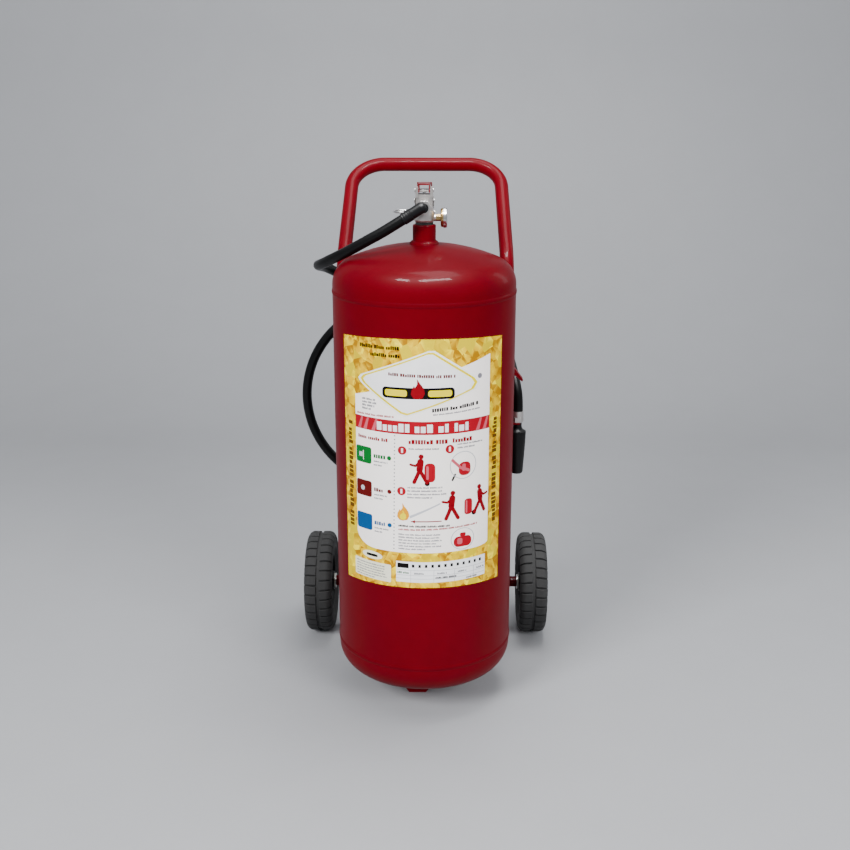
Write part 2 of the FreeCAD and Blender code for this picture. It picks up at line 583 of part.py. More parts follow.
def make_valve_inside():
    """Gasket, stem, seal, spring and siphon tube."""
    seat = (*AXIS[:2], "neck_top_z")
    node("neck_gasket", cut("neck_gasket", cylinder("gasket_disc", "gasket_r", "gasket_high", seat),
                            cylinder("gasket_eye", "neck_bore_r", "gasket_high", seat)))
    stem = fuse("valve_stem_solid",
                cylinder("stem_tip", "3", "8", (*AXIS[:2], "stem_top_z - 8")),
                cylinder("stem_rod", "stem_r", "stem_top_z - 6 - seat_z + 10", (*AXIS[:2], "seat_z - 10")),
                cylinder("stem_disc", "disc_r", "disc_thick", (*AXIS[:2], "seat_z - 3 - disc_thick")))
    node("valve_stem", stem)
    closed = (*AXIS[:2], "seat_z - 3")
    node("stem_seal", cut("stem_seal", cylinder("seal_disc", "disc_r", "seal_thick", closed),
                          cylinder("seal_eye", "stem_r", "seal_thick", closed)))
    helix = bound("Part::Helix", "spring_line", (*AXIS[:2], "neck_top_z - 3 + spring_wire_r"),
                  Radius="spring_r", Pitch="spring_pitch",
                  Height="seat_z - neck_top_z - 4 - 2 * spring_wire_r")
    DOC.recompute()
    ring = bound("Part::Circle", "spring_ring", Radius="spring_wire_r")
    start = helix.Shape.Edges[0]
    ring.Placement = FreeCAD.Placement(
        start.valueAt(start.FirstParameter),
        FreeCAD.Rotation(V(0, 0, 1), start.tangentAt(start.FirstParameter)))
    spring = DOC.addObject("Part::Sweep", "valve_spring")
    spring.Sections = [ring]
    spring.Spine = (helix, ["Edge1"])
    spring.Solid = True
    spring.Frenet = True
    node("valve_spring", spring)
    pipe = cylinder("siphon_pipe", "chamber_r", "neck_top_z - 3 - siphon_low_z",
                    (*AXIS[:2], "siphon_low_z"))
    bore = cylinder("siphon_bore", "chamber_r - siphon_wall", "neck_top_z - 10 - siphon_low_z + 1",
                    (*AXIS[:2], "siphon_low_z - 1"))
    eye = cylinder("siphon_eye", "4.5", "20", (*AXIS[:2], "neck_top_z - 15"))
    slant = box("siphon_slant", ("40", "40", "20"), ("-20", behind("-20"), "siphon_low_z - 12"))
    node("siphon_tube", cut("siphon_tube", pipe, bore, eye, slant))


def slanted(name, run, rise, drop, thick, across):
    """A plate that runs back from the tank's axis and falls by drop on the way."""
    (near, far), (low, high) = run, rise
    outline = [(near, low), (far, f"{low} - {drop}"), (far, f"{high} - {drop}"), (near, high)]
    return plate(name, "YZ_Plane", outline, thick, (across, "axis_y", "0"))


def make_lever():
    """The squeeze lever: a channel between the cheeks that widens to a palm plate."""
    parts = [plate(f"{side}_lever_flange", "YZ_Plane", FLANGE_OUTLINE, "palm_edge",
                   (f"{sign} * (lever_half_w - palm_edge / 2)", "axis_y", "0"))
             for side, sign in (("left", -1), ("right", 1))]
    top = "lever_top_z - lever_thick"
    parts.append(box("lever_nose", ("2 * lever_half_w", "44", "lever_thick"),
                     ("-lever_half_w", behind("-20"), top)))
    parts.append(slanted("lever_palm", ("palm_start_y", "lever_end_y"), (top, "lever_top_z"),
                         "palm_drop", "2 * palm_half_w", "0"))
    for side, sign in (("left", -1), ("right", 1)):
        parts.append(slanted(f"{side}_palm_edge", ("palm_start_y", "lever_end_y"),
                             ("lever_top_z - 10.5", "lever_top_z - 1.5"), "palm_drop", "palm_edge",
                             f"{sign} * (palm_half_w - palm_edge / 2)"))
    parts.append(box("lever_pad", ("2 * lever_half_w - 2", "8", "2.5"),
                     ("1 - lever_half_w", behind("-4"), "stem_top_z + pad_gap")))
    eye = cylinder("lever_eye", "pivot_hole_r", "60", ("-30", behind("pivot_y"), "pivot_z"), "x")
    node("lever", cut("lever", fuse("lever_solid", *parts), eye))
    rod = cylinder("pivot_rod", "pivot_r", "2 * valve_half_w + 1.2",
                   ("-valve_half_w - 0.6", behind("pivot_y"), "pivot_z"), "x")
    heads = [cylinder(f"{side}_pivot_head", "pin_head_r", "1.6",
                      (f"{sign} * (valve_half_w + 0.6)", behind("pivot_y"), "pivot_z"), turn)
             for side, sign, turn in (("left", -1, "-x"), ("right", 1, "x"))]
    node("lever_pin", fuse("lever_pin", rod, *heads))


def make_carry_grip():
    """The fixed lower grip, riveted to the block's two sides."""
    parts, rivets = [], []
    run = ("grip_start_y", "grip_start_y + grip_long")
    for side, sign in (("left", -1), ("right", 1)):
        start = "valve_half_w" if sign > 0 else "-valve_half_w - grip_thick"
        parts.append(box(f"{side}_tab", ("grip_thick", "28", "15"), (start, behind("-8"), "grip_plate_z")))
        parts.append(slanted(f"{side}_grip_edge", run, ("grip_plate_z - 6", "grip_plate_z + 3"),
                             "grip_drop", "grip_thick", f"{sign} * (valve_half_w + grip_thick / 2)"))
        turn = "x" if sign > 0 else "-x"
        shank = cylinder(f"{side}_rivet_shank", "rivet_r", "valve_half_w + grip_thick - rivet_core - 0.2",
                         (f"{sign} * (rivet_core + 0.2)", behind("rivet_y"), "rivet_z"), turn)
        head = cylinder(f"{side}_rivet_head", "pin_head_r", "1.5",
                        (f"{sign} * (valve_half_w + grip_thick)", behind("rivet_y"), "rivet_z"), turn)
        rivets.append(fuse(f"{side}_rivet", shank, head))
    parts.append(slanted("grip_plate", run, ("grip_plate_z", "grip_plate_z + 3"), "grip_drop",
                         "2 * (valve_half_w + grip_thick)", "0"))
    eye = cylinder("grip_eye", "rivet_r", "60", ("-30", behind("rivet_y"), "rivet_z"), "x")
    node("carry_grip", cut("carry_grip", fuse("carry_grip_solid", *parts), eye))
    group("grip_rivets", *rivets)


def make_safety_pin():
    """A straight pin through the body with a stiff wire pull ring on its left end."""
    inner = "-valve_half_w - 7.5"
    rod = cylinder("safety_rod", "pin_r", "48", (inner, behind("pin_y"), "pin_z"), "x")
    ring = torus("safety_ring", "ring_r", "ring_wire_r",
                 (f"{inner} - ring_r", behind("pin_y"), "pin_z"))
    node("safety_pin", fuse("safety_pin", rod, ring))


def make_gauge():
    """The pressure gauge on the right side, facing away from the valve."""
    axis = (behind("0"), "gauge_z")
    shank = cylinder("gauge_shank_bar", "gauge_shank_r", "16", ("10", *axis), "x")
    flats = hexagon("gauge_hexagon", "gauge_flats", "gauge_back_x - 25", ("25", *axis), "x")
    node("gauge_stem", fuse("gauge_stem", shank, flats))
    at = ("gauge_back_x", *axis)
    node("gauge_case", revolve("gauge_case", [
        ("0", "0"), ("gauge_r - 4", "0"), ("gauge_r - 1", "3", "4", -1), ("gauge_r - 1", "gauge_deep - 4"),
        ("dial_r", "gauge_deep - 4"), ("dial_r", "2"), ("0", "2")], at, "x"))
    node("gauge_dial", revolve("gauge_dial", [
        ("1", "2"), ("dial_r", "2"), ("dial_r", "5"), ("1", "5")], at, "x"))
    hand = box("needle_hand", ("0.6", "1.6", "needle_long"),
               ("gauge_back_x + 6", behind("-0.8"), "gauge_z"))
    tail = box("needle_tail", ("0.6", "2.4", "5"),
               ("gauge_back_x + 6", behind("-1.2"), "gauge_z - 5"))
    hub = cylinder("needle_hub", "2.2", "1.6", ("gauge_back_x + 5.5", *axis), "x")
    arbor = cylinder("needle_arbor", "0.9", "4", ("gauge_back_x + 2.5", *axis), "x")
    node("gauge_needle", fuse("gauge_needle", hand, tail, hub, arbor))
    node("gauge_lens", cylinder("gauge_lens", "dial_r", "2",
                                ("gauge_back_x + gauge_deep - 4.5", *axis), "x"))
    node("gauge_bezel", revolve("gauge_bezel", [
        ("gauge_r - 1", "gauge_deep - 8"), ("gauge_r + 0.5", "gauge_deep - 8"),
        ("gauge_r + 0.5", "gauge_deep - 2"), ("gauge_r - 1", "gauge_deep"), ("gauge_r - 4.5", "gauge_deep"),
        ("dial_r - 2", "gauge_deep - 2.5"), ("dial_r", "gauge_deep - 2.5"),
        ("dial_r", "gauge_deep - 4"), ("gauge_r - 1", "gauge_deep - 4")], at, "x"))


# ---------------------------------------------------------------- hose, gun and hooks

def route(points):
    """Route points in the document's own frame."""
    return [V(x, y + number("axis_y"), z) for x, y, z in points]


def largest_radii(points):
    """Each corner's arc is as large as 0.45 of its shorter run allows."""
    radii = []
    for before, corner, after in zip(points, points[1:], points[2:]):
        back, ahead = before - corner, after - corner
        turn = math.pi - back.getAngle(ahead)
        radii.append(0.45 * min(back.Length, ahead.Length) / math.tan(turn / 2))
    return radii


def make_hose_tube(name, points):
    """One free run of the hose."""
    points = route(points)
    radii = largest_radii(points)
    path = path_object(name + "_path", rounded_path(points, radii))
    tube = node(name, sweep(name, path, "hose_r"))
    print(name, "arc radii", [round(r) for r in radii], "length", round(path.Shape.Length))
    return path, tube


def make_outlet():
    """Swivel nut, elbow and ferrule; the ferrule is in line with the hose's first run."""
    nut_at = ("0", behind("-44"), "outlet_z")
    node("outlet_nut", cut("outlet_nut", hexagon("nut_hexagon", "nut_flats", "nut_long", nut_at, "y"),
                           cylinder("nut_bore", "port_r", "nut_long", nut_at, "y")))
    start, ahead = route(LEAD_ROUTE[:2])
    heading = (ahead - start).normalize()
    ferrule_start = start - heading * number("ferrule_long")
    middle = ferrule_start - heading * number("elbow_arm")
    neck = cylinder("elbow_neck", "ferrule_r - 3", "14", ("0", behind("-44"), "outlet_z"), "-y")
    ball = bound("Part::Sphere", "elbow_ball", Radius="ferrule_r - 0.6")
    ball.Placement = FreeCAD.Placement(middle, FreeCAD.Rotation())
    arm = bound("Part::Cylinder", "elbow_arm_bar", Radius="ferrule_r - 0.6", Height="elbow_arm")
    arm.Placement = FreeCAD.Placement(middle, FreeCAD.Rotation(V(0, 0, 1), heading))
    node("outlet_elbow", fuse("outlet_elbow", neck, ball, arm))
    ferrule = bound("Part::Cylinder", "hose_ferrule", Radius="ferrule_r + 0.4", Height="ferrule_long")
    ferrule.Placement = FreeCAD.Placement(ferrule_start, FreeCAD.Rotation(V(0, 0, 1), heading))
    node("hose_ferrule", ferrule)


def make_hose():
    """The outlet, the two free runs and the two turns behind the tank."""
    make_outlet()
    make_hose_tube("hose_lead", LEAD_ROUTE)
    node("hose_outer_turn", torus("hose_outer_turn", "turn_outer_r", "hose_r",
                                  ("turn_outer_x", behind("turn_outer_y"), "turn_outer_z"), "y"))
    node("hose_inner_turn", torus("hose_inner_turn", "turn_inner_r", "hose_r",
                                  ("turn_inner_x", behind("turn_inner_y"), "turn_inner_z"), "y"))
    make_hose_tube("hose_tail", TAIL_ROUTE)


def make_hose_rest(envelope):
    """A half-round saddle on the tank's back that the hose's turns hang over."""
    start, end = behind("rest_start_y"), "rest_end_y - rest_start_y"
    centre = ("rest_x", start, "rest_z")
    shell = cut("rest_shell", cylinder("rest_outside", "rest_r", end, centre, "y"),
                cylinder("rest_inside", "rest_r - rest_wall", end, centre, "y"))
    lip_at = ("rest_x", behind("rest_end_y"), "rest_z")
    lip = cut("rest_lip_ring", cylinder("rest_lip_outside", "rest_r + rest_lip", "3", lip_at, "y"),
              cylinder("rest_lip_inside", "rest_r - rest_wall", "3", lip_at, "y"))
    below = box("rest_below", ("400", "400", "200"), ("-228", behind("0"), "rest_z - 200"))
    node("hose_rest", cut("hose_rest", fuse("rest_solid", shell, lip), below, envelope))


def make_gun(envelope):
    """The discharge gun with its flow bore, trigger, plunger and coupling."""
    at = ("gun_x", behind("gun_y"), "0")
    barrel = revolve("gun_barrel", [
        ("gun_flow_r", "gun_top_z"), ("gun_neck_r", "gun_top_z"), ("gun_neck_r", "gun_top_z - 7"),
        ("gun_belly_r", "gun_top_z - 22", "14", -1), ("gun_belly_r - 0.5", "gun_top_z - 46"),
        ("14.5", "gun_low_z + 3"), ("12.5", "gun_low_z"), ("10.5", "gun_low_z"),
        ("gun_flow_r", "gun_low_z + 24")], at)
    lugs = [box(f"gun_{side}_lug", ("3", "48", "18"), (start, behind("gun_y + 8"), "trigger_pivot_z - 9"))
            for side, start in (("left", "gun_x - 9"), ("right", "gun_x + 6"))]
    boss = cylinder("gun_boss", "7", "20", ("gun_x", behind("gun_y + 10"), "plunger_z"), "y")
    flow = cylinder("gun_flow", "gun_flow_r", "140", ("gun_x", behind("gun_y"), "gun_low_z - 5"))
    hole = cylinder("plunger_hole", "plunger_hole_r", "60", ("gun_x", behind("gun_y"), "plunger_z"), "y")
    across = ("gun_x - 20", behind("trigger_y"), "trigger_pivot_z")
    pivot = cylinder("trigger_hole", "trigger_pin_r", "40", across, "x")
    node("gun_body", cut("gun_body", fuse("gun_solid", barrel, *lugs, boss), flow, hole, pivot))
    node("gun_trigger_pin", cylinder("gun_trigger_pin", "trigger_pin_r", "20",
                                     ("gun_x - 10", behind("trigger_y"), "trigger_pivot_z"), "x"))
    bar = plate("trigger_bar", "YZ_Plane", TRIGGER_OUTLINE, "trigger_w",
                ("gun_x", behind("trigger_y"), "trigger_pivot_z"))
    eye = cylinder("trigger_eye", "trigger_pin_r + 0.06", "40", across, "x")
    node("gun_trigger", cut("gun_trigger", bar, eye))
    node("gun_plunger", cylinder("gun_plunger", "plunger_r", "trigger_y - 2.4 - gun_y - plunger_y",
                                 ("gun_x", behind("gun_y + plunger_y"), "plunger_z"), "y"))
    collar = ("gun_x", behind("gun_y"), "gun_top_z")
    nut = hexagon("gun_nut", "gun_nut_flats", "12", collar)
    sleeve = cylinder("gun_sleeve", "ferrule_r", "gun_ferrule_top_z - gun_top_z", collar)
    waist = cylinder("gun_waist", "gun_flow_r", "gun_ferrule_top_z - gun_top_z - 4", collar)
    upper = box("gun_sleeve_trim", ("60", "60", "12"),
                ("gun_x - 30", behind("gun_y - 30"), "gun_top_z"))
    node("gun_ferrule", cut("gun_ferrule", fuse("gun_ferrule_solid", nut,
                                                cut("gun_sleeve_top", sleeve, upper)), waist))
    make_holders(envelope)


def make_holders(envelope):
    """The fork that the gun hangs in and the sloped strip that keeps the hose off the wall."""
    arm = box("holder_arm", ("35", "28", "4"), ("gun_x - 30", behind("gun_y - 14"), "gun_top_z - 4"))
    seat = cylinder("holder_seat", "9.6", "12", ("gun_x", behind("gun_y"), "gun_top_z - 8"))
    mouth = box("holder_mouth", ("40", "19.2", "12"), ("gun_x", behind("gun_y - 9.6"), "gun_top_z - 8"))
    node("gun_holder", cut("gun_holder", arm, seat, mouth, envelope))
    strip = plate("guide_strip", "XZ_Plane", GUIDE_OUTLINE, "guide_deep", ("0", behind("24"), "0"))
    node("hose_guide", cut("hose_guide", strip, envelope))


# ---------------------------------------------------------------- build, check and export

def build():
    """Fill the sheet and make every sub-part."""
    fill_sheet()
    envelope = tank_envelope("tank_envelope")
    make_tank()
    make_label()
    make_foot(envelope)
    make_handle(envelope)
    make_axle(envelope)
    make_valve_body()
    make_valve_inside()
    make_lever()
    make_carry_grip()
    make_safety_pin()
    make_gauge()
    make_hose()
    make_hose_rest(envelope)
    make_gun(envelope)
    DOC.recompute()


def check():
    """Stop if anything failed to compute or if a sub-part isn't a valid shape."""
    for thing in DOC.Objects:
        if "Invalid" in thing.State or "Error" in thing.State:
            raise RuntimeError(f"{thing.Name} failed: {thing.State}")
    for name, thing in NODES.items():
        if thing.Shape.isNull() or not thing.Shape.isValid() or thing.Shape.Volume <= 0:
            raise RuntimeError(f"{name} has no valid shape")


def export():
    """Write one STEP file for each node."""
    os.makedirs("parts", exist_ok=True)
    for name, thing in NODES.items():
        thing.Shape.exportStep(f"parts/{name}.step")
        print(f"{name:20s} solids {len(thing.Shape.Solids)} volume {thing.Shape.Volume / 1000:9.1f} cm3")


build()
check()
export()
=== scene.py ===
"""Looks of a wheeled powder fire extinguisher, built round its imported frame.

Each sub-assembly is a class that holds its sizes, builds its meshes and dresses them. Lengths are
in metres: +Z is up, X is to the right as seen from the label, and Y points at the handle.
"""
import json
import logging
import math
import random
from dataclasses import dataclass, field, replace
from enum import Enum
from typing import Callable, Iterable, Sequence

import bmesh
import bpy
from mathutils import Matrix, Quaternion, Vector

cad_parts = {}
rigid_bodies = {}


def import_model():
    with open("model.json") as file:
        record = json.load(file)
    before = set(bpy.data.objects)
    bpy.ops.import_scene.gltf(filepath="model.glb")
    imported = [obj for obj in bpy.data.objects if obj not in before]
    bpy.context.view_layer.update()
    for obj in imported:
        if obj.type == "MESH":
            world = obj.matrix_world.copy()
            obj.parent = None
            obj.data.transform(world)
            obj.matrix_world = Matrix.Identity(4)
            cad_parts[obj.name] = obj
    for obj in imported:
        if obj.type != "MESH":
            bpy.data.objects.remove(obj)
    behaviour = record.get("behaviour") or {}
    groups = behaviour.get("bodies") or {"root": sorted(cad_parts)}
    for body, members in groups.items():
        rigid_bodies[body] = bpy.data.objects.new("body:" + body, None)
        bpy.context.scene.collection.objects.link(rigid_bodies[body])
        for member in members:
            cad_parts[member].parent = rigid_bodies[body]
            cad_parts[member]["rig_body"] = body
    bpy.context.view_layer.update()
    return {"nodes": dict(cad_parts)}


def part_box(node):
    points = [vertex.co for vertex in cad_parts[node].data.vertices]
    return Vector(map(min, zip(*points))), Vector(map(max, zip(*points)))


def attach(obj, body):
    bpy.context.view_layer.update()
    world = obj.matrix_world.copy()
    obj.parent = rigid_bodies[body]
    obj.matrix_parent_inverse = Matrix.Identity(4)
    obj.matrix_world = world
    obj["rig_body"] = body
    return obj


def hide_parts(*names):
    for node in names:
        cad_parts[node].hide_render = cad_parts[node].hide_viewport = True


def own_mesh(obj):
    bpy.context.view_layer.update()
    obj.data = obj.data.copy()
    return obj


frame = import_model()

LOG = logging.getLogger("extinguisher")
MM = 0.001
FULL_TURN = 2 * math.pi
Colour = tuple[float, float, float]
Flat = list[tuple[float, float]]


# ---------------------------------------------------------------- mesh making

class Axis(Enum):
    """Which way a turned piece's own height points."""

    UP = ((1, 0, 0), (0, 1, 0), (0, 0, 1))
    DOWN = ((1, 0, 0), (0, -1, 0), (0, 0, -1))
    RIGHT = ((0, 1, 0), (0, 0, 1), (1, 0, 0))
    LEFT = ((0, 1, 0), (0, 0, -1), (-1, 0, 0))

    def basis(self) -> Matrix:
        """The turn from a piece's own axes to the frame's."""
        return Matrix(self.value).transposed()


def arc(centre: Sequence[float], radius: float, start: float, end: float, steps: int) -> Flat:
    """Points on a circle's arc, both ends included.

    Args:
        centre: The circle's centre in the outline's own two directions.
        radius: The circle's radius.
        start: The first point's angle in degrees.
        end: The last point's angle in degrees.
        steps: How many stretches the arc has.

    Returns:
        The arc's points in order.
    """
    angles = [math.radians(start + (end - start) * k / steps) for k in range(steps + 1)]
    return [(centre[0] + radius * math.cos(a), centre[1] + radius * math.sin(a)) for a in angles]


def join_rings(bm: bmesh.types.BMesh, rings: list[list], closed: bool) -> None:
    """Skin the space between neighbouring rings of vertices; a ring of one vertex is a tip.

    Args:
        bm: The mesh that gets the faces.
        rings: Rings of equal length, or of one vertex.
        closed: Whether the last ring also joins the first.
    """
    pairs = list(zip(rings, rings[1:]))
    if closed:
        pairs.append((rings[-1], rings[0]))
    for low, high in pairs:
        count = max(len(low), len(high))
        for k in range(count):
            after = (k + 1) % count
            corners = [low[k % len(low)], low[after % len(low)], high[after % len(high)], high[k % len(high)]]
            if len(low) + len(high) > 2:
                bm.faces.new(list(dict.fromkeys(corners)))


def prism(bm: bmesh.types.BMesh, near: list, far: list) -> None:
    """Skin the space between two rings of vertices and close both ends."""
    join_rings(bm, [near, far], closed=False)
    bm.faces.new(near)
    bm.faces.new(far)


def lathe(bm: bmesh.types.BMesh, outline: Flat, centre: Sequence[float], axis: Axis = Axis.UP,
          steps: int = 96, closed: bool = True,
          swell: Callable[[float, float], float] | None = None) -> None:
    """Turn an outline of (radius, height) points about an axis.

    Args:
        bm: The mesh that gets the turned skin.
        outline: Points from one end to the other; a radius of nought makes a tip.
        centre: Where the outline's zero height lies on the axis.
        axis: The way that height points.
        steps: How many points go round.
        closed: Whether the outline's end joins its start.
        swell: Adds to the radius, from the turn's angle and the height.
    """
    basis, origin = axis.basis(), Vector(centre)
    rings = []
    for radius, height in outline:
        if radius < 1e-6:
            rings.append([bm.verts.new(origin + basis @ Vector((0, 0, height)))])
            continue
        ring = []
        for k in range(steps):
            angle = FULL_TURN * k / steps
            reach = radius + (swell(angle, height) if swell else 0.0)
            flat = Vector((reach * math.cos(angle), reach * math.sin(angle), height))
            ring.append(bm.verts.new(origin + basis @ flat))
        rings.append(ring)
    join_rings(bm, rings, closed)


def sweep(bm: bmesh.types.BMesh, path: Sequence[Vector], radius: Callable[[float], float],
          sides: int = 24, closed: bool = False) -> None:
    """Run a round section along a path without twist.

    Args:
        bm: The mesh that gets the bar.
        path: The centre line's points.
        radius: The section's radius from the share of the points passed.
        sides: How many points go round the section.
        closed: Whether the path is a loop.
    """
    count = len(path)
    rings, normal = [], None
    for k, point in enumerate(path):
        before = path[k - 1] if closed or k else point
        after = path[(k + 1) % count] if closed or k + 1 < count else point
        heading = (after - before).normalized()
        if normal is None:
            normal = heading.orthogonal().normalized()
        normal = (normal - heading * normal.dot(heading)).normalized()
        across = heading.cross(normal)
        reach = radius(k / (count - 1))
        rings.append([bm.verts.new(point + reach * (math.cos(a) * normal + math.sin(a) * across))
                      for a in (FULL_TURN * side / sides for side in range(sides))])
    join_rings(bm, rings, closed)
    if not closed:
        bm.faces.new(rings[0])
        bm.faces.new(rings[-1])


def rounded_run(points: Sequence[Vector], radii: Sequence[float], turn_step: float = 3.0) -> list[Vector]:
    """Straight runs joined by arcs, as a bent tube's centre line.

    Args:
        points: The corners, with both ends.
        radii: The bend's radius at each inner corner.
        turn_step: The turn between neighbouring points of a bend, in degrees.

    Returns:
        The line's points.
    """
    line = [points[0]]
    for before, corner, after, radius in zip(points, points[1:], points[2:], radii):
        back, ahead = (before - corner).normalized(), (after - corner).normalized()
        half = (math.pi - back.angle(ahead)) / 2
        start = corner + back * radius * math.tan(half)
        outward = -(back + ahead).normalized()
        centre = corner - outward * radius / math.cos(half)
        spin = (start - centre).cross(ahead).normalized()
        steps = max(4, round(math.degrees(2 * half) / turn_step))
        for k in range(steps + 1):
            turn = Quaternion(spin, 2 * half * k / steps)
            line.append(centre + turn @ (start - centre))
    line.append(points[-1])
    return line


def finish_mesh(name: str, bm: bmesh.types.BMesh, body: str, crease: float) -> bpy.types.Object:
    """Turn a finished bmesh into a smooth-shaded object that rides on a body.

    Args:
        name: The piece's name.
        bm: The mesh, which is freed.
        body: The body that the piece moves with.
        crease: Edges sharper than this many degrees stay sharp.

    Returns:
        The new piece.
    """
    bmesh.ops.recalc_face_normals(bm, faces=bm.faces[:])
    mesh = bpy.data.meshes.new(name)
    bm.to_mesh(mesh)
    bm.free()
    mesh.shade_smooth()
    mesh.set_sharp_from_angle(angle=math.radians(crease))
    piece = bpy.data.objects.new(name, mesh)
    bpy.context.scene.collection.objects.link(piece)
    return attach(piece, body)


@dataclass
class Maker:
    """Makes named pieces, dresses them and reports them."""

    made: list[str] = field(default_factory=list)

    def piece(self, name: str, finish: "Finish", shape: Callable[[bmesh.types.BMesh], None],
              nodes: Iterable[str] = (), body: str = "root", crease: float = 35.0) -> bpy.types.Object:
        """Build one piece.

        Args:
            name: The piece's name.
            finish: What it is made of.
            shape: Adds the piece's faces to an empty mesh.
            nodes: The frame's nodes that it stands for.
            body: The body that it moves with.
            crease: Edges sharper than this many degrees stay sharp.

        Returns:
            The piece.
        """
        bm = bmesh.new()
        shape(bm)
        piece = finish_mesh(name, bm, body, crease)
        return self.dress(piece, finish, nodes)

    def dress(self, piece: bpy.types.Object, finish: "Finish", nodes: Iterable[str] = ()) -> bpy.types.Object:
        """Give a piece its finish, hide the nodes that it stands for, and say which they are."""
        piece.data.materials.clear()
        piece.data.materials.append(finish.material())
        if nodes:
            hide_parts(*nodes)
        self.made.append(piece.name)
        LOG.info("%s: %s, for %s", piece.name, finish.name, ", ".join(nodes) or "itself")
        return piece

    def refine(self, node: str, finish: "Finish", width: float = 0.5 * MM, body: str = "root",
               name: str | None = None, crease: float = 32.0) -> bpy.types.Object:
        """A copy of a CAD node whose sharp edges are broken, which stands for it.

        Args:
            node: The CAD node.
            finish: What it is made of.
            width: How wide the broken edges are.
            body: The body that it moves with.
            name: The new piece's name, or the node's with an ending.
            crease: Edges sharper than this many degrees are broken.

        Returns:
            The piece.
        """
        bm = bmesh.new()
        bm.from_mesh(frame["nodes"][node].data)
        bmesh.ops.remove_doubles(bm, verts=bm.verts[:], dist=2e-6)
        bmesh.ops.dissolve_limit(bm, angle_limit=math.radians(0.8), verts=bm.verts[:], edges=bm.edges[:])
        piece = finish_mesh(name or node + "_piece", bm, body, crease)
        edges = piece.modifiers.new("broken_edges", "BEVEL")
        edges.width = width
        edges.segments = 2
        edges.limit_method = "ANGLE"
        edges.angle_limit = math.radians(crease)
        edges.harden_normals = True
        edges.miter_outer = "MITER_ARC"
        return self.dress(piece, finish, [node])

    def paint(self, node: str, finish: "Finish") -> None:
        """Dress a CAD node that stays as it is."""
        shown = frame["nodes"][node]
        shown.data.materials.clear()
        shown.data.materials.append(finish.material())
        self.made.append(node)
        LOG.info("%s: %s, as the frame has it", node, finish.name)


# ---------------------------------------------------------------- shader building

class Graph:
    """A node tree being filled, with short ways to add linked nodes."""

    def __init__(self, tree: bpy.types.NodeTree) -> None:
        """Keep the tree that the nodes go in."""
        self.tree = tree

    def add(self, kind: str, inputs: dict | None = None, **settings) -> bpy.types.Node:
        """Add one shader node.

        Args:
            kind: The node's type without its ShaderNode beginning.
            inputs: Sockets by name or number, each with a value or with a socket to link.
            settings: The node's own properties.

        Returns:
            The node.
        """
        made = self.tree.nodes.new("ShaderNode" + kind)
        for name, value in settings.items():
            setattr(made, name, value)
        for name, value in (inputs or {}).items():
            if isinstance(value, bpy.types.NodeSocket):
                self.tree.links.new(value, made.inputs[name])
            else:
                made.inputs[name].default_value = value
        return made

    def maths(self, operation: str, first, second=0.0, clamp: bool = False) -> bpy.types.NodeSocket:
        """The result of a Math node on two sockets or numbers."""
        made = self.add("Math", {0: first, 1: second}, operation=operation, use_clamp=clamp)
        return made.outputs[0]

    def share(self, first, second, part: float, clamp: bool = False) -> bpy.types.NodeSocket:
        """A weighted sum: part of the first and the rest of the second."""
        most = self.maths("MULTIPLY", first, part)
        rest = self.maths("MULTIPLY", second, round(1 - part, 6))
        return self.maths("ADD", most, rest, clamp)

    def vector(self, operation: str, first, second) -> bpy.types.Node:
        """A Vector Math node on two sockets or vectors."""
        return self.add("VectorMath", {0: first, 1: second}, operation=operation)

    def step(self, value, low: float, high: float) -> bpy.types.NodeSocket:
        """A smooth rise from nought to one while value goes from low to high."""
        made = self.add("MapRange", {"Value": value, "From Min": low, "From Max": high},
                        interpolation_type="SMOOTHSTEP")
        return made.outputs[0]

    def mix(self, share, first, second) -> bpy.types.NodeSocket:
        """A colour between two colours."""
        made = self.add("Mix", data_type="RGBA")
        for socket, value in ((made.inputs[0], share), (made.inputs[6], first), (made.inputs[7], second)):
            if isinstance(value, bpy.types.NodeSocket):
                self.tree.links.new(value, socket)
            else:
                socket.default_value = value if isinstance(value, float) else (*value[:3], 1.0)
        return made.outputs[2]

    def noise(self, place, scale, detail: float = 3.0, rough: float = 0.55) -> bpy.types.NodeSocket:
        """A noise value at a place."""
        return self.add("TexNoise", {"Vector": place, "Scale": scale, "Detail": detail,
                                     "Roughness": rough}).outputs[0]

    def place(self) -> bpy.types.NodeSocket:
        """The point's place in the frame, as the object's own coordinates give it."""
        return self.add("TexCoord").outputs["Object"]


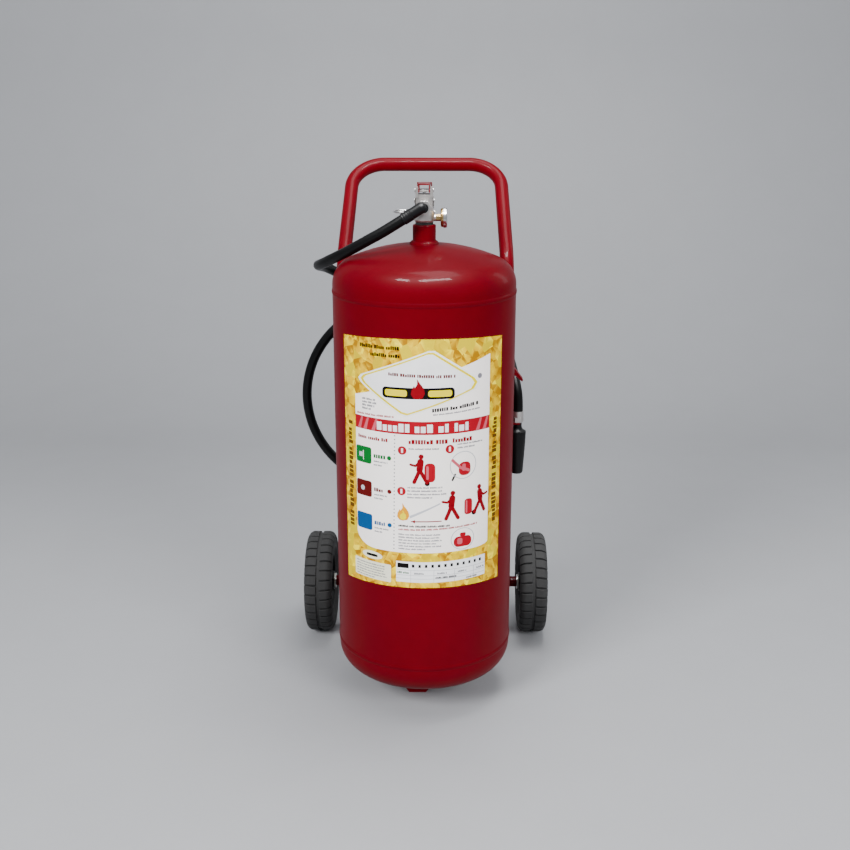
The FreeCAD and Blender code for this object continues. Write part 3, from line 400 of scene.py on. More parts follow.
class Effect(Enum):
    """Shader groups that more than one material uses, each with its inputs and outputs."""

    EDGE_WEAR = ("edge_wear", {"Width": 0.0006, "Spread": 0.5, "Scale": 90.0}, ("Mask",))
    GRAIN = ("grain", {"Scale": 900.0, "Softness": 0.5}, ("Height",))
    DUST = ("dust", {"Amount": 0.3, "Scale": 14.0}, ("Mask",))
    SMUDGE = ("smudge", {"Scale": 9.0, "Strength": 0.1}, ("Value",))
    MOTTLE = ("mottle", {"Scale": 6.0}, ("Mask",))

    def group(self) -> bpy.types.NodeTree:
        """The effect's group, built the first time that it is asked for."""
        name, inputs, outputs = self.value
        if name in bpy.data.node_groups:
            return bpy.data.node_groups[name]
        tree = bpy.data.node_groups.new(name, "ShaderNodeTree")
        for label, default in inputs.items():
            socket = tree.interface.new_socket(label, in_out="INPUT", socket_type="NodeSocketFloat")
            socket.default_value = default
        for label in outputs:
            tree.interface.new_socket(label, in_out="OUTPUT", socket_type="NodeSocketFloat")
        graph = Graph(tree)
        given = tree.nodes.new("NodeGroupInput").outputs
        result = tree.nodes.new("NodeGroupOutput").inputs
        for label, value in zip(outputs, getattr(self, "fill_" + name)(graph, given)):
            tree.links.new(value, result[label])
        return tree

    def fill_edge_wear(self, graph: Graph, given) -> tuple:
        """Bright where the surface turns sharply, broken up by noise."""
        soft = graph.add("Bevel", {"Radius": given["Width"]}, samples=4).outputs[0]
        sharp = graph.add("NewGeometry").outputs["Normal"]
        same = graph.vector("DOT_PRODUCT", soft, sharp).outputs["Value"]
        turned = graph.step(graph.maths("SUBTRACT", 1.0, same), 0.015, 0.12)
        patches = graph.noise(graph.place(), given["Scale"], 4.0, 0.65)
        kept = graph.maths("GREATER_THAN", given["Spread"], patches)
        return (graph.maths("MULTIPLY", turned, kept, clamp=True),)

    def fill_grain(self, graph: Graph, given) -> tuple:
        """Fine bumps over wider ones."""
        place = graph.place()
        fine = graph.noise(place, given["Scale"], 2.0, given["Softness"])
        coarse = graph.noise(place, graph.maths("MULTIPLY", given["Scale"], 0.23), 1.0, 0.5)
        return (graph.share(fine, coarse, 0.65),)

    def fill_dust(self, graph: Graph, given) -> tuple:
        """Settles on faces that look up, in soft patches."""
        normal = graph.add("NewGeometry").outputs["Normal"]
        upward = graph.add("SeparateXYZ", {0: normal}).outputs[2]
        lying = graph.maths("ADD", graph.step(upward, -0.2, 0.9), 0.18)
        patches = graph.step(graph.noise(graph.place(), given["Scale"], 6.0, 0.7), 0.38, 0.72)
        settled = graph.maths("MULTIPLY", lying, patches)
        return (graph.maths("MULTIPLY", settled, given["Amount"], clamp=True),)

    def fill_smudge(self, graph: Graph, given) -> tuple:
        """A small change of gloss in wide soft patches."""
        patches = graph.noise(graph.place(), given["Scale"], 5.0, 0.6)
        return (graph.maths("MULTIPLY", graph.maths("SUBTRACT", patches, 0.5), given["Strength"]),)

    def fill_mottle(self, graph: Graph, given) -> tuple:
        """Wide and narrow patches of tone together."""
        place = graph.place()
        wide = graph.noise(place, given["Scale"], 3.0, 0.5)
        narrow = graph.noise(place, graph.maths("MULTIPLY", given["Scale"], 9.0), 3.0, 0.6)
        return (graph.step(graph.share(wide, narrow, 0.6), 0.35, 0.65),)


@dataclass(frozen=True)
class Finish:
    """One material: its colour, gloss, grain, wear and dust."""

    name: str
    slot: str
    colour: Colour
    shade: float = 0.82
    metallic: float = 0.0
    roughness: float = 0.5
    smudge: float = 0.08
    coat: float = 0.0
    coat_roughness: float = 0.06
    specular: float = 0.5
    mottle_scale: float = 7.0
    grain_scale: float = 900.0
    grain_depth: float = 0.02 * MM
    grain_stretch: Colour = (1.0, 1.0, 1.0)
    worn: Colour | None = None
    worn_width: float = 0.7 * MM
    worn_spread: float = 0.5
    dust: float = 0.0
    dust_colour: Colour = (0.30, 0.28, 0.25)

    def material(self) -> bpy.types.Material:
        """The Blender material, made the first time that it is asked for."""
        if self.name in bpy.data.materials:
            return bpy.data.materials[self.name]
        made = bpy.data.materials.new(self.name)
        made.use_nodes = True
        made.diffuse_color = (*self.colour, 1.0)
        graph = Graph(made.node_tree)
        shader = made.node_tree.nodes["Principled BSDF"].inputs
        shader["Metallic"].default_value = self.metallic
        shader["Coat Weight"].default_value = self.coat
        shader["Coat Roughness"].default_value = self.coat_roughness
        shader["Specular IOR Level"].default_value = self.specular
        self.wire(graph, shader)
        return made

    def effect(self, graph: Graph, effect: Effect, **values: float) -> bpy.types.NodeOutputs:
        """Place a shared effect in this material and give its outputs."""
        made = graph.tree.nodes.new("ShaderNodeGroup")
        made.node_tree = effect.group()
        for name, value in values.items():
            made.inputs[name].default_value = value
        return made.outputs

    def base(self, graph: Graph) -> bpy.types.NodeSocket:
        """The colour before wear and dust."""
        mask = self.effect(graph, Effect.MOTTLE, Scale=self.mottle_scale)["Mask"]
        darker = tuple(part * self.shade for part in self.colour)
        return graph.mix(mask, darker, self.colour)

    def height(self, graph: Graph) -> bpy.types.NodeSocket:
        """The grain's height, stretched one way if the finish is drawn or brushed."""
        if self.grain_stretch == (1.0, 1.0, 1.0):
            return self.effect(graph, Effect.GRAIN, Scale=self.grain_scale)["Height"]
        drawn = graph.add("Mapping", {"Vector": graph.place(), "Scale": self.grain_stretch}).outputs[0]
        return graph.noise(drawn, self.grain_scale, 2.0, 0.6)

    def finish_links(self, graph: Graph, shader: bpy.types.NodeInputs, gloss: bpy.types.NodeSocket) -> None:
        """Link the gloss, and the grain as a bump."""
        bump = graph.add("Bump", {"Height": self.height(graph), "Distance": self.grain_depth})
        graph.tree.links.new(gloss, shader["Roughness"])
        graph.tree.links.new(bump.outputs[0], shader["Normal"])

    def wire(self, graph: Graph, shader: bpy.types.NodeInputs) -> None:
        """Link colour, gloss and bump to the shader."""
        colour = self.base(graph)
        gloss = graph.maths("ADD", self.effect(graph, Effect.SMUDGE, Strength=self.smudge)["Value"],
                            self.roughness, clamp=True)
        if self.worn:
            worn = self.effect(graph, Effect.EDGE_WEAR, Width=self.worn_width,
                               Spread=self.worn_spread)["Mask"]
            colour = graph.mix(worn, colour, self.worn)
            gloss = graph.maths("ADD", gloss, graph.maths("MULTIPLY", worn, 0.15), clamp=True)
        if self.dust:
            dusty = self.effect(graph, Effect.DUST, Amount=self.dust)["Mask"]
            colour = graph.mix(dusty, colour, self.dust_colour)
            gloss = graph.maths("ADD", gloss, graph.maths("MULTIPLY", dusty, 0.5), clamp=True)
        graph.tree.links.new(colour, shader["Base Color"])
        self.finish_links(graph, shader, gloss)


@dataclass(frozen=True)
class FacetFoil(Finish):
    """Printed gold film with a pattern of cut-gem facets."""

    facet_scale: float = 42.0
    shard_share: float = 1.9
    steepness: float = 1.9
    middle_tone: float = 0.46
    pale: Colour = (0.95, 0.74, 0.01)
    deep: Colour = (0.34, 0.150, 0.0)
    lime: Colour = (0.60, 0.45, 0.0)

    def base(self, graph: Graph) -> bpy.types.NodeSocket:
        """Each facet has its own tone and a slope of tone across it."""
        stretched = graph.add("Mapping", {"Vector": graph.place(), "Rotation": (0.3, 0.5, 0.4),
                                          "Scale": (1.0, 0.6, 0.8)}).outputs[0]
        (large, cell), (small, _) = (self.facet(graph, stretched, self.facet_scale * size)
                                     for size in (1.0, self.shard_share))
        own = graph.add("SeparateColor", {0: cell})
        tone = graph.share(large, small, 0.6, clamp=True)
        warm = graph.mix(graph.step(tone, 0.12, 0.55), self.deep, self.colour)
        green = graph.mix(graph.step(own.outputs[1], 0.62, 0.85), warm, self.lime)
        return graph.mix(graph.step(tone, 0.50, 0.95), green, self.pale)

    def facet(self, graph: Graph, place, scale: float) -> tuple:
        """One layer of straight-edged facets: the slope of tone across each, and its random colour."""
        cells = graph.add("TexVoronoi", {"Vector": place, "Scale": scale, "Randomness": 1.0})
        inside = graph.vector("SUBTRACT", place, cells.outputs["Position"])
        heading = graph.vector("SUBTRACT", cells.outputs["Color"], (0.5, 0.5, 0.5))
        slope = graph.vector("DOT_PRODUCT", inside.outputs[0], heading.outputs[0]).outputs["Value"]
        steep = graph.maths("MULTIPLY", slope, self.steepness * scale)
        return graph.maths("ADD", steep, self.middle_tone), cells.outputs["Color"]


@dataclass(frozen=True)
class ClearLens(Finish):
    """A clear moulded window with faint wiping marks."""

    def wire(self, graph: Graph, shader: bpy.types.NodeInputs) -> None:
        """Plain transmission; only the gloss and the bump change over the surface."""
        shader["Base Color"].default_value = (*self.colour, 1.0)
        shader["Transmission Weight"].default_value = 1.0
        shader["IOR"].default_value = 1.49
        marks = self.effect(graph, Effect.SMUDGE, Scale=60.0, Strength=0.08)["Value"]
        self.finish_links(graph, shader, graph.maths("ADD", marks, self.roughness, clamp=True))


ENAMEL = Finish("tank_enamel", "red_paint", (0.108, 0.0006, 0.0046), shade=0.88, roughness=0.38, coat=0.045,
                coat_roughness=0.03, specular=0.03, mottle_scale=3.0, grain_scale=420.0,
                grain_depth=0.012 * MM, worn=(0.06, 0.001, 0.002), worn_width=1.2 * MM, worn_spread=0.42,
                dust=0.02, dust_colour=(0.12, 0.02, 0.02))
# The tank's enamel painted lighter for the handle and the hose guide; the extra lightness is painted light.
PAINTED_LIGHT_ENAMEL = replace(ENAMEL, name="enamel_painted_light", colour=(0.125, 0.0007, 0.0052), grain_scale=700.0)
WELD_ENAMEL = replace(ENAMEL, name="weld_enamel", colour=(0.100, 0.0005, 0.0042), roughness=0.42,
                      grain_scale=1500.0, grain_depth=0.04 * MM)
LEVER_COAT = Finish("lever_powder_coat", "red_lever", (0.15, 0.0007, 0.005), roughness=0.30, coat=0.10,
                    specular=0.2, grain_scale=1600.0, grain_depth=0.02 * MM, worn=(0.45, 0.42, 0.38),
                    worn_spread=0.44)
NICKEL = Finish("valve_nickel", "valve_nickel", (0.24, 0.215, 0.20), metallic=1.0, roughness=0.36,
                grain_scale=1100.0, grain_depth=0.03 * MM, worn=(0.66, 0.60, 0.50), smudge=0.16)
GRIP_STEEL = replace(NICKEL, name="grip_nickel", roughness=0.27, grain_scale=900.0,
                     grain_stretch=(1.0, 0.05, 1.0), grain_depth=0.006 * MM)
ZINC = Finish("zinc_plate", "zinc_steel", (0.62, 0.63, 0.62), metallic=1.0, roughness=0.30, smudge=0.14,
              grain_scale=1400.0, grain_depth=0.01 * MM, worn=(0.75, 0.75, 0.74))
SPRING = Finish("spring_wire", "spring_steel", (0.42, 0.42, 0.43), metallic=1.0, roughness=0.28,
                grain_scale=2600.0, grain_depth=0.006 * MM)
BRASS = Finish("turned_brass", "brass", (0.60, 0.40, 0.16), metallic=1.0, roughness=0.26, smudge=0.12,
               grain_scale=1200.0, grain_stretch=(1.0, 0.08, 0.08), grain_depth=0.01 * MM,
               worn=(0.80, 0.62, 0.32))
CHROME = Finish("bright_chrome", "chrome", (0.72, 0.73, 0.74), metallic=1.0, roughness=0.24, smudge=0.06,
                grain_scale=500.0, grain_depth=0.003 * MM)
TYRE = Finish("tyre_rubber", "tyre_rubber", (0.0022, 0.0017, 0.0018), shade=0.6, roughness=0.27, smudge=0.08,
              specular=0.05, mottle_scale=16.0, grain_scale=1300.0, grain_depth=0.03 * MM,
              worn=(0.022, 0.019, 0.019), worn_width=1.0 * MM, worn_spread=0.56, dust=0.03,
              dust_colour=(0.05, 0.045, 0.042))
HOSE = Finish("hose_cover", "hose_rubber", (0.0022, 0.0022, 0.0024), shade=0.7, roughness=0.38, smudge=0.18,
              coat=0.03, coat_roughness=0.25, specular=0.14, grain_scale=1700.0, grain_depth=0.03 * MM,
              dust=0.04, dust_colour=(0.05, 0.05, 0.05))
SEAL = Finish("seal_rubber", "seal_rubber", (0.014, 0.014, 0.014), roughness=0.55, grain_scale=2000.0)
PLASTIC = Finish("moulded_black", "black_plastic", (0.0025, 0.0025, 0.003), roughness=0.42, smudge=0.14,
                 specular=0.22, grain_scale=2300.0, grain_depth=0.03 * MM, worn=(0.02, 0.02, 0.02), dust=0.03,
                 dust_colour=(0.08, 0.08, 0.08))
RIM_PLASTIC = replace(PLASTIC, name="rim_moulding", roughness=0.52, dust=0.08, grain_scale=1500.0)
NYLON = Finish("natural_nylon", "nylon", (0.70, 0.67, 0.58), roughness=0.40, grain_scale=1500.0)
DIAL = Finish("dial_white", "dial_paint", (0.78, 0.78, 0.74), shade=0.96, roughness=0.45,
              grain_scale=3000.0, grain_depth=0.004 * MM)
DIAL_RED = replace(DIAL, name="dial_red", colour=(0.50, 0.02, 0.02))
DIAL_GREEN = replace(DIAL, name="dial_green", colour=(0.02, 0.30, 0.07))
DIAL_BLACK = replace(DIAL, name="dial_black", colour=(0.02, 0.02, 0.02))
NEEDLE = Finish("needle_black", "needle_paint", (0.015, 0.015, 0.015), roughness=0.5, grain_scale=3000.0)
LENS = ClearLens("clear_lens", "clear_lens", (0.96, 0.98, 0.98), roughness=0.03, grain_scale=300.0,
                 grain_depth=0.002 * MM)
FOIL = FacetFoil("label_gold", "label_film", (0.70, 0.43, 0.0), roughness=0.34, coat=0.0,
                 coat_roughness=0.10, specular=0.04, grain_scale=600.0, grain_depth=0.004 * MM)
PAPER = Finish("label_white", "label_film", (0.93, 0.88, 0.84), shade=0.97, roughness=0.34, coat=0.02,
               coat_roughness=0.10, specular=0.04, mottle_scale=4.0, grain_scale=700.0,
               grain_depth=0.004 * MM)
FLOOR = Finish("floor_grey", "none", (0.31, 0.315, 0.33), shade=0.98, roughness=0.6, grain_scale=60.0)


class Ink(Enum):
    """The label's printing colours."""

    DARK_RED = (0.20, 0.0015, 0.007)
    RED = (0.31, 0.003, 0.013)
    GREEN = (0.002, 0.12, 0.018)
    MAROON = (0.09, 0.005, 0.005)
    BLUE = (0.003, 0.06, 0.19)
    BLACK = (0.005, 0.004, 0.004)
    GREY = (0.17, 0.17, 0.19)
    PALE_GREY = (0.42, 0.43, 0.47)
    YELLOW = (0.72, 0.60, 0.0)
    CREAM = (0.78, 0.77, 0.60)
    WHITE = (0.82, 0.82, 0.83)
    ORANGE = (0.62, 0.26, 0.004)
    BROWN = (0.10, 0.04, 0.004)
    PINK = (0.50, 0.09, 0.12)

    def finish(self) -> Finish:
        """The ink on the label's glossy film."""
        return replace(PAPER, name="ink_" + self.name.lower(), colour=self.value, shade=0.90)


# ---------------------------------------------------------------- camera and hose

@dataclass(frozen=True)
class Lamp:
    """One soft rectangular light: where it stands, what it faces, its size and its power in watts.

    Glossy surfaces show it if it is mirrored, and it lights matt surfaces if it is lighting.
    """

    name: str
    place: Colour
    aim: Colour
    size: tuple[float, float]
    power: float
    mirrored: bool = True
    lighting: bool = True

    def make(self) -> None:
        """Add the light to the scene."""
        data = bpy.data.lights.new(self.name, "AREA")
        data.shape = "RECTANGLE"
        data.size, data.size_y = self.size
        data.energy = self.power
        lamp = bpy.data.objects.new(self.name, data)
        lamp.location = self.place
        lamp.rotation_euler = (Vector(self.aim) - Vector(self.place)).to_track_quat("-Z", "Y").to_euler()
        lamp.visible_glossy, lamp.visible_diffuse = self.mirrored, self.lighting
        bpy.context.scene.collection.objects.link(lamp)


LAMPS = (
    Lamp("key", (-2.6, -3.4, 3.0), (0.0, -0.1, 0.6), (1.6, 1.6), 350.0, mirrored=False),
    Lamp("fill", (2.6, -3.4, 2.4), (0.0, -0.1, 0.6), (1.8, 1.8), 205.0, mirrored=False),
    Lamp("top", (0.4, 0.2, 3.6), (0.0, -0.1, 0.6), (1.6, 1.2), 90.0),
    Lamp("right_edge", (2.3, 1.3, 1.9), (0.1, 0.0, 0.75), (0.5, 1.4), 10.0),
    Lamp("window_left", (-0.82, -1.05, 3.22), (0.0, -0.25, 1.0), (0.62, 0.34), 105.4, lighting=False),
    Lamp("window_right", (0.42, -1.05, 3.22), (0.0, -0.25, 1.0), (1.30, 0.34), 221.0, lighting=False),
)


@dataclass
class View:
    """The camera, the soft studio lights and the pale floor."""

    place: Colour = (0.0452, -2.6104, 1.389)
    turned: float = 1.0
    down: float = 16.62
    lens: float = 49.0
    air: tuple[float, float, float, float] = (0.86, 0.90, 0.96, 1.0)
    air_strength: float = 0.50
    floor_half: float = 7.0
    wall_y: float = 3.4
    wall_bend: float = 1.6
    wall_top: float = 6.0

    def make_camera(self) -> None:
        """Set the scene's camera."""
        data = bpy.data.cameras.new("camera")
        data.lens = self.lens
        camera = bpy.data.objects.new("camera", data)
        camera.location = self.place
        camera.rotation_euler = (math.radians(90 - self.down), 0, math.radians(self.turned))
        bpy.context.scene.collection.objects.link(camera)
        bpy.context.scene.camera = camera

    def make_studio(self) -> None:
        """Lights, the world's soft glow and a floor that curves up behind."""
        for lamp in LAMPS:
            lamp.make()
        world = bpy.data.worlds.new("studio_air")
        world.use_nodes = True
        glow = world.node_tree.nodes["Background"].inputs
        glow[0].default_value = self.air
        glow[1].default_value = self.air_strength
        bpy.context.scene.world = world
        self.make_floor()

    def make_floor(self) -> None:
        """A plain sheet, flat under the object and bent up into a wall behind it."""
        bend = arc((self.wall_y - self.wall_bend, self.wall_bend), self.wall_bend, -90, 0, 24)
        section = [(-self.floor_half, 0.0), *bend, (self.wall_y, self.wall_top)]
        bm = bmesh.new()
        rings = [[bm.verts.new((side * self.floor_half, y, z)) for side in (-1, 1)] for y, z in section]
        for near, far in zip(rings, rings[1:]):
            bm.faces.new([near[0], near[1], far[1], far[0]])
        floor = finish_mesh("studio_floor", bm, "root", 180)
        floor.parent = None
        del floor["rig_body"]
        floor.data.materials.append(FLOOR.material())


@dataclass
class Hose:
    """The discharge hose: off the valve, twice round the rest behind the tank, and to the gun."""

    radius: float = 0.0115
    axis_y: float = -0.1098
    coil_steps: int = 16
    outer: tuple[float, float, float] = (-0.060, 0.642, 0.233)
    inner: tuple[float, float, float] = (-0.004, 0.685, 0.190)
    turn_y: tuple[float, float, float] = (0.264, 0.240, 0.216)
    lead: tuple = (
        (-44, -57, 1108), (-82, -57, 1084), (-120, -49, 1063), (-158, -30, 1040), (-197, 2, 1018),
        (-230, 44, 998), (-243, 96, 988), (-229, 152, 976), (-196, 202, 949), (-152, 242, 912),
        (-108, 259, 886),
    )
    tail: tuple = (
        (46, 222, 873), (94, 218, 862), (139, 203, 838), (172, 176, 808), (192, 140, 780),
        (201, 104, 752), (209, 76, 720), (214, 60, 690), (214, 60, 660),
    )

    def run(self, points: Iterable[Colour]) -> list[Vector]:
        """Route points in millimetres from the tank's axis, as points of the frame."""
        return [Vector((x * MM, y * MM + self.axis_y, z * MM)) for x, y, z in points]

    def turn(self, circle: tuple[float, float, float], start_y: float, end_y: float) -> list[Vector]:
        """Control points of one turn, from its top and round to its top again."""
        reach = circle[2] / math.cos(math.pi / self.coil_steps)
        points = []
        for k in range(self.coil_steps + 1):
            angle = FULL_TURN * k / self.coil_steps
            depth = start_y + (end_y - start_y) * k / self.coil_steps + self.axis_y
            points.append(Vector((circle[0] + reach * math.sin(angle), depth,
                                  circle[1] + reach * math.cos(angle))))
        return points

    def make(self, maker: Maker) -> None:
        """One smooth spline through the whole route."""
        points = (self.run(self.lead) + self.turn(self.outer, *self.turn_y[:2])
                  + self.turn(self.inner, *self.turn_y[1:]) + self.run(self.tail))
        curve = bpy.data.curves.new("hose", "CURVE")
        curve.dimensions = "3D"
        spline = curve.splines.new("NURBS")
        spline.points.add(len(points) - 1)
        for spot, point in zip(spline.points, points):
            spot.co = (*point, 1.0)
            spot.radius = self.radius
        spline.order_u = 3
        spline.use_endpoint_u = True
        spline.resolution_u = 12
        curve.bevel_depth = 1.0
        curve.bevel_resolution = 8
        curve.use_fill_caps = True
        hose = bpy.data.objects.new("hose", curve)
        bpy.context.scene.collection.objects.link(hose)
        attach(hose, "root")
        maker.dress(hose, HOSE, ("hose_lead", "hose_outer_turn", "hose_inner_turn", "hose_tail"))


# ---------------------------------------------------------------- tank

@dataclass
class Tank:
    """The welded pressure vessel: shell, two dished heads, seam welds, neck and foot."""

    wall: float = 3.2 * MM
    crown_radius: float = 430 * MM
    knuckle_radius: float = 58 * MM
    high_skirt: float = 14.5 * MM
    low_skirt: float = 15 * MM
    bead_half: float = 5.6 * MM
    bead_rise: float = 1.4 * MM
    neck_radius: float = 25 * MM
    neck_bore: float = 18 * MM
    neck_leg: float = 7 * MM
    neck_bulge: float = 0.084
    ripple_pitch: float = 4.2 * MM
    steps: int = 192

    def __post_init__(self) -> None:
        """Read the shell's place and size from the frame."""
        low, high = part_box("tank_shell")
        self.radius = (high.x - low.x) / 2
        self.axis_y = (high.y + low.y) / 2
        self.low_seam, self.high_seam = low.z, high.z
        self.drop = math.sqrt((self.crown_radius - self.knuckle_radius) ** 2
                              - (self.radius - self.knuckle_radius) ** 2)

    def centre(self, height: float = 0.0) -> Vector:
        """A point on the tank's axis."""
        return Vector((0, self.axis_y, height))

    def dish(self, inset: float, hole: float, skirt: float) -> Flat:
        """One side of a dished head from its skirt up to its hole.

        Args:
            inset: How far inside the outer face the side lies.
            hole: The radius at which the side ends.
            skirt: How far the straight skirt reaches below the knuckle.

        Returns:
            The side's (radius, height) points, with the knuckle's start at nought.
        """
        offset = self.radius - self.knuckle_radius
        turn = math.degrees(math.asin(offset / (self.crown_radius - self.knuckle_radius)))
        crown = self.crown_radius - inset
        end = math.degrees(math.asin(hole / crown))
        knuckle = arc((offset, 0), self.knuckle_radius - inset, 0, 90 - turn, 14)
        top = arc((0, -self.drop), crown, 90 - turn, 90 - end, 36)
        return [(self.radius - inset, -skirt), *knuckle, *top[1:]]

    def make_head(self, maker: Maker, node: str, hole: float, skirt: float, height: float,
                  axis: Axis) -> None:
        """A pressed head with its own thickness."""
        outside = self.dish(0.0, hole, skirt)
        inside = self.dish(self.wall, hole, skirt)[::-1]
        maker.piece(node + "_skin", ENAMEL,
                    lambda bm: lathe(bm, outside + inside, self.centre(height), axis, self.steps), [node])

    def bead(self, outline: Flat, centre: Vector, reach: float) -> Callable[[bmesh.types.BMesh], None]:
        """A turned weld bead with overlapping ripples.

        Args:
            outline: The bead's section, with its root points first and last.
            centre: The middle of its circle.
            reach: The circle's radius, for spacing the ripples.

        Returns:
            The shape for Maker.piece.
        """
        count = round(FULL_TURN * reach / self.ripple_pitch)
        heights = [height for _, height in outline]
        low, high = min(heights), max(heights)

        def ripple(angle: float, height: float) -> float:
            """Lower between ripples, whose fronts are curved back at the bead's edges."""
            share = (height - low) / (high - low)
            lag = 5.0 * (share - 0.5) ** 2
            wave = abs(math.sin(angle * count / 2 + lag))
            return (wave ** 0.6 - 0.8) * 0.42 * MM * math.sin(math.pi * share)

        return lambda bm: lathe(bm, outline, centre, steps=count * 6, swell=ripple)

    def make_seams(self, maker: Maker) -> None:
        """The two round seam beads and the neck's fillet bead."""
        radius = (self.bead_half ** 2 + self.bead_rise ** 2) / (2 * self.bead_rise)
        half_turn = math.degrees(math.asin(self.bead_half / radius))
        bulge = arc((self.radius + self.bead_rise - radius, 0), radius, -half_turn, half_turn, 10)
        root = [(self.radius - 1 * MM, self.bead_half), (self.radius - 1 * MM, -self.bead_half)]
        for name, height in (("upper_weld", self.high_seam), ("lower_weld", self.low_seam)):
            maker.piece(name + "_bead", WELD_ENAMEL,
                        self.bead(bulge + root, self.centre(height), self.radius), [name])
        base = self.high_seam + self.high_skirt - self.drop
        foot = math.sqrt(self.crown_radius ** 2 - (self.neck_radius + self.neck_leg) ** 2) + base
        top = base + self.crown_radius + self.neck_leg
        rise = self.neck_bulge * math.hypot(self.neck_leg, top - foot)
        bulge = [(self.neck_radius + self.neck_leg * (1 - share) + rise * math.sin(math.pi * share),
                  foot + (top - foot) * share + rise * math.sin(math.pi * share))
                 for share in (k / 10 for k in range(11))]
        root = [(self.neck_radius - 1 * MM, top - 1 * MM), (self.neck_radius - 1 * MM, foot - 2 * MM)]
        maker.piece("neck_weld_bead", WELD_ENAMEL,
                    self.bead(bulge + root, self.centre(), self.neck_radius + self.neck_leg), ["neck_weld"])

    def make(self, maker: Maker) -> None:
        """Shell, heads, seams, neck and foot."""
        inner = self.radius - self.wall
        shell = [(self.radius, self.low_seam), (self.radius, self.high_seam),
                 (inner, self.high_seam), (inner, self.low_seam)]
        maker.piece("tank_shell_skin", ENAMEL,
                    lambda bm: lathe(bm, shell, self.centre(), steps=self.steps), ["tank_shell"])
        self.make_head(maker, "top_head", self.neck_radius, self.high_skirt,
                       self.high_seam + self.high_skirt, Axis.UP)
        self.make_head(maker, "bottom_head", 0.0, self.low_skirt, self.low_seam - self.low_skirt, Axis.DOWN)
        self.make_seams(maker)
        low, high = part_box("neck_boss")
        boss = [(self.neck_bore, low.z), (self.neck_radius, low.z),
                *arc((self.neck_radius - 3 * MM, high.z - 3 * MM), 3 * MM, 0, 90, 6),
                (self.neck_bore + 1 * MM, high.z), (self.neck_bore, high.z - 1 * MM)]
        maker.piece("neck_boss_turned", ENAMEL, lambda bm: lathe(bm, boss, self.centre()), ["neck_boss"])
        maker.refine("front_foot", ENAMEL, 0.9 * MM)


# ---------------------------------------------------------------- label

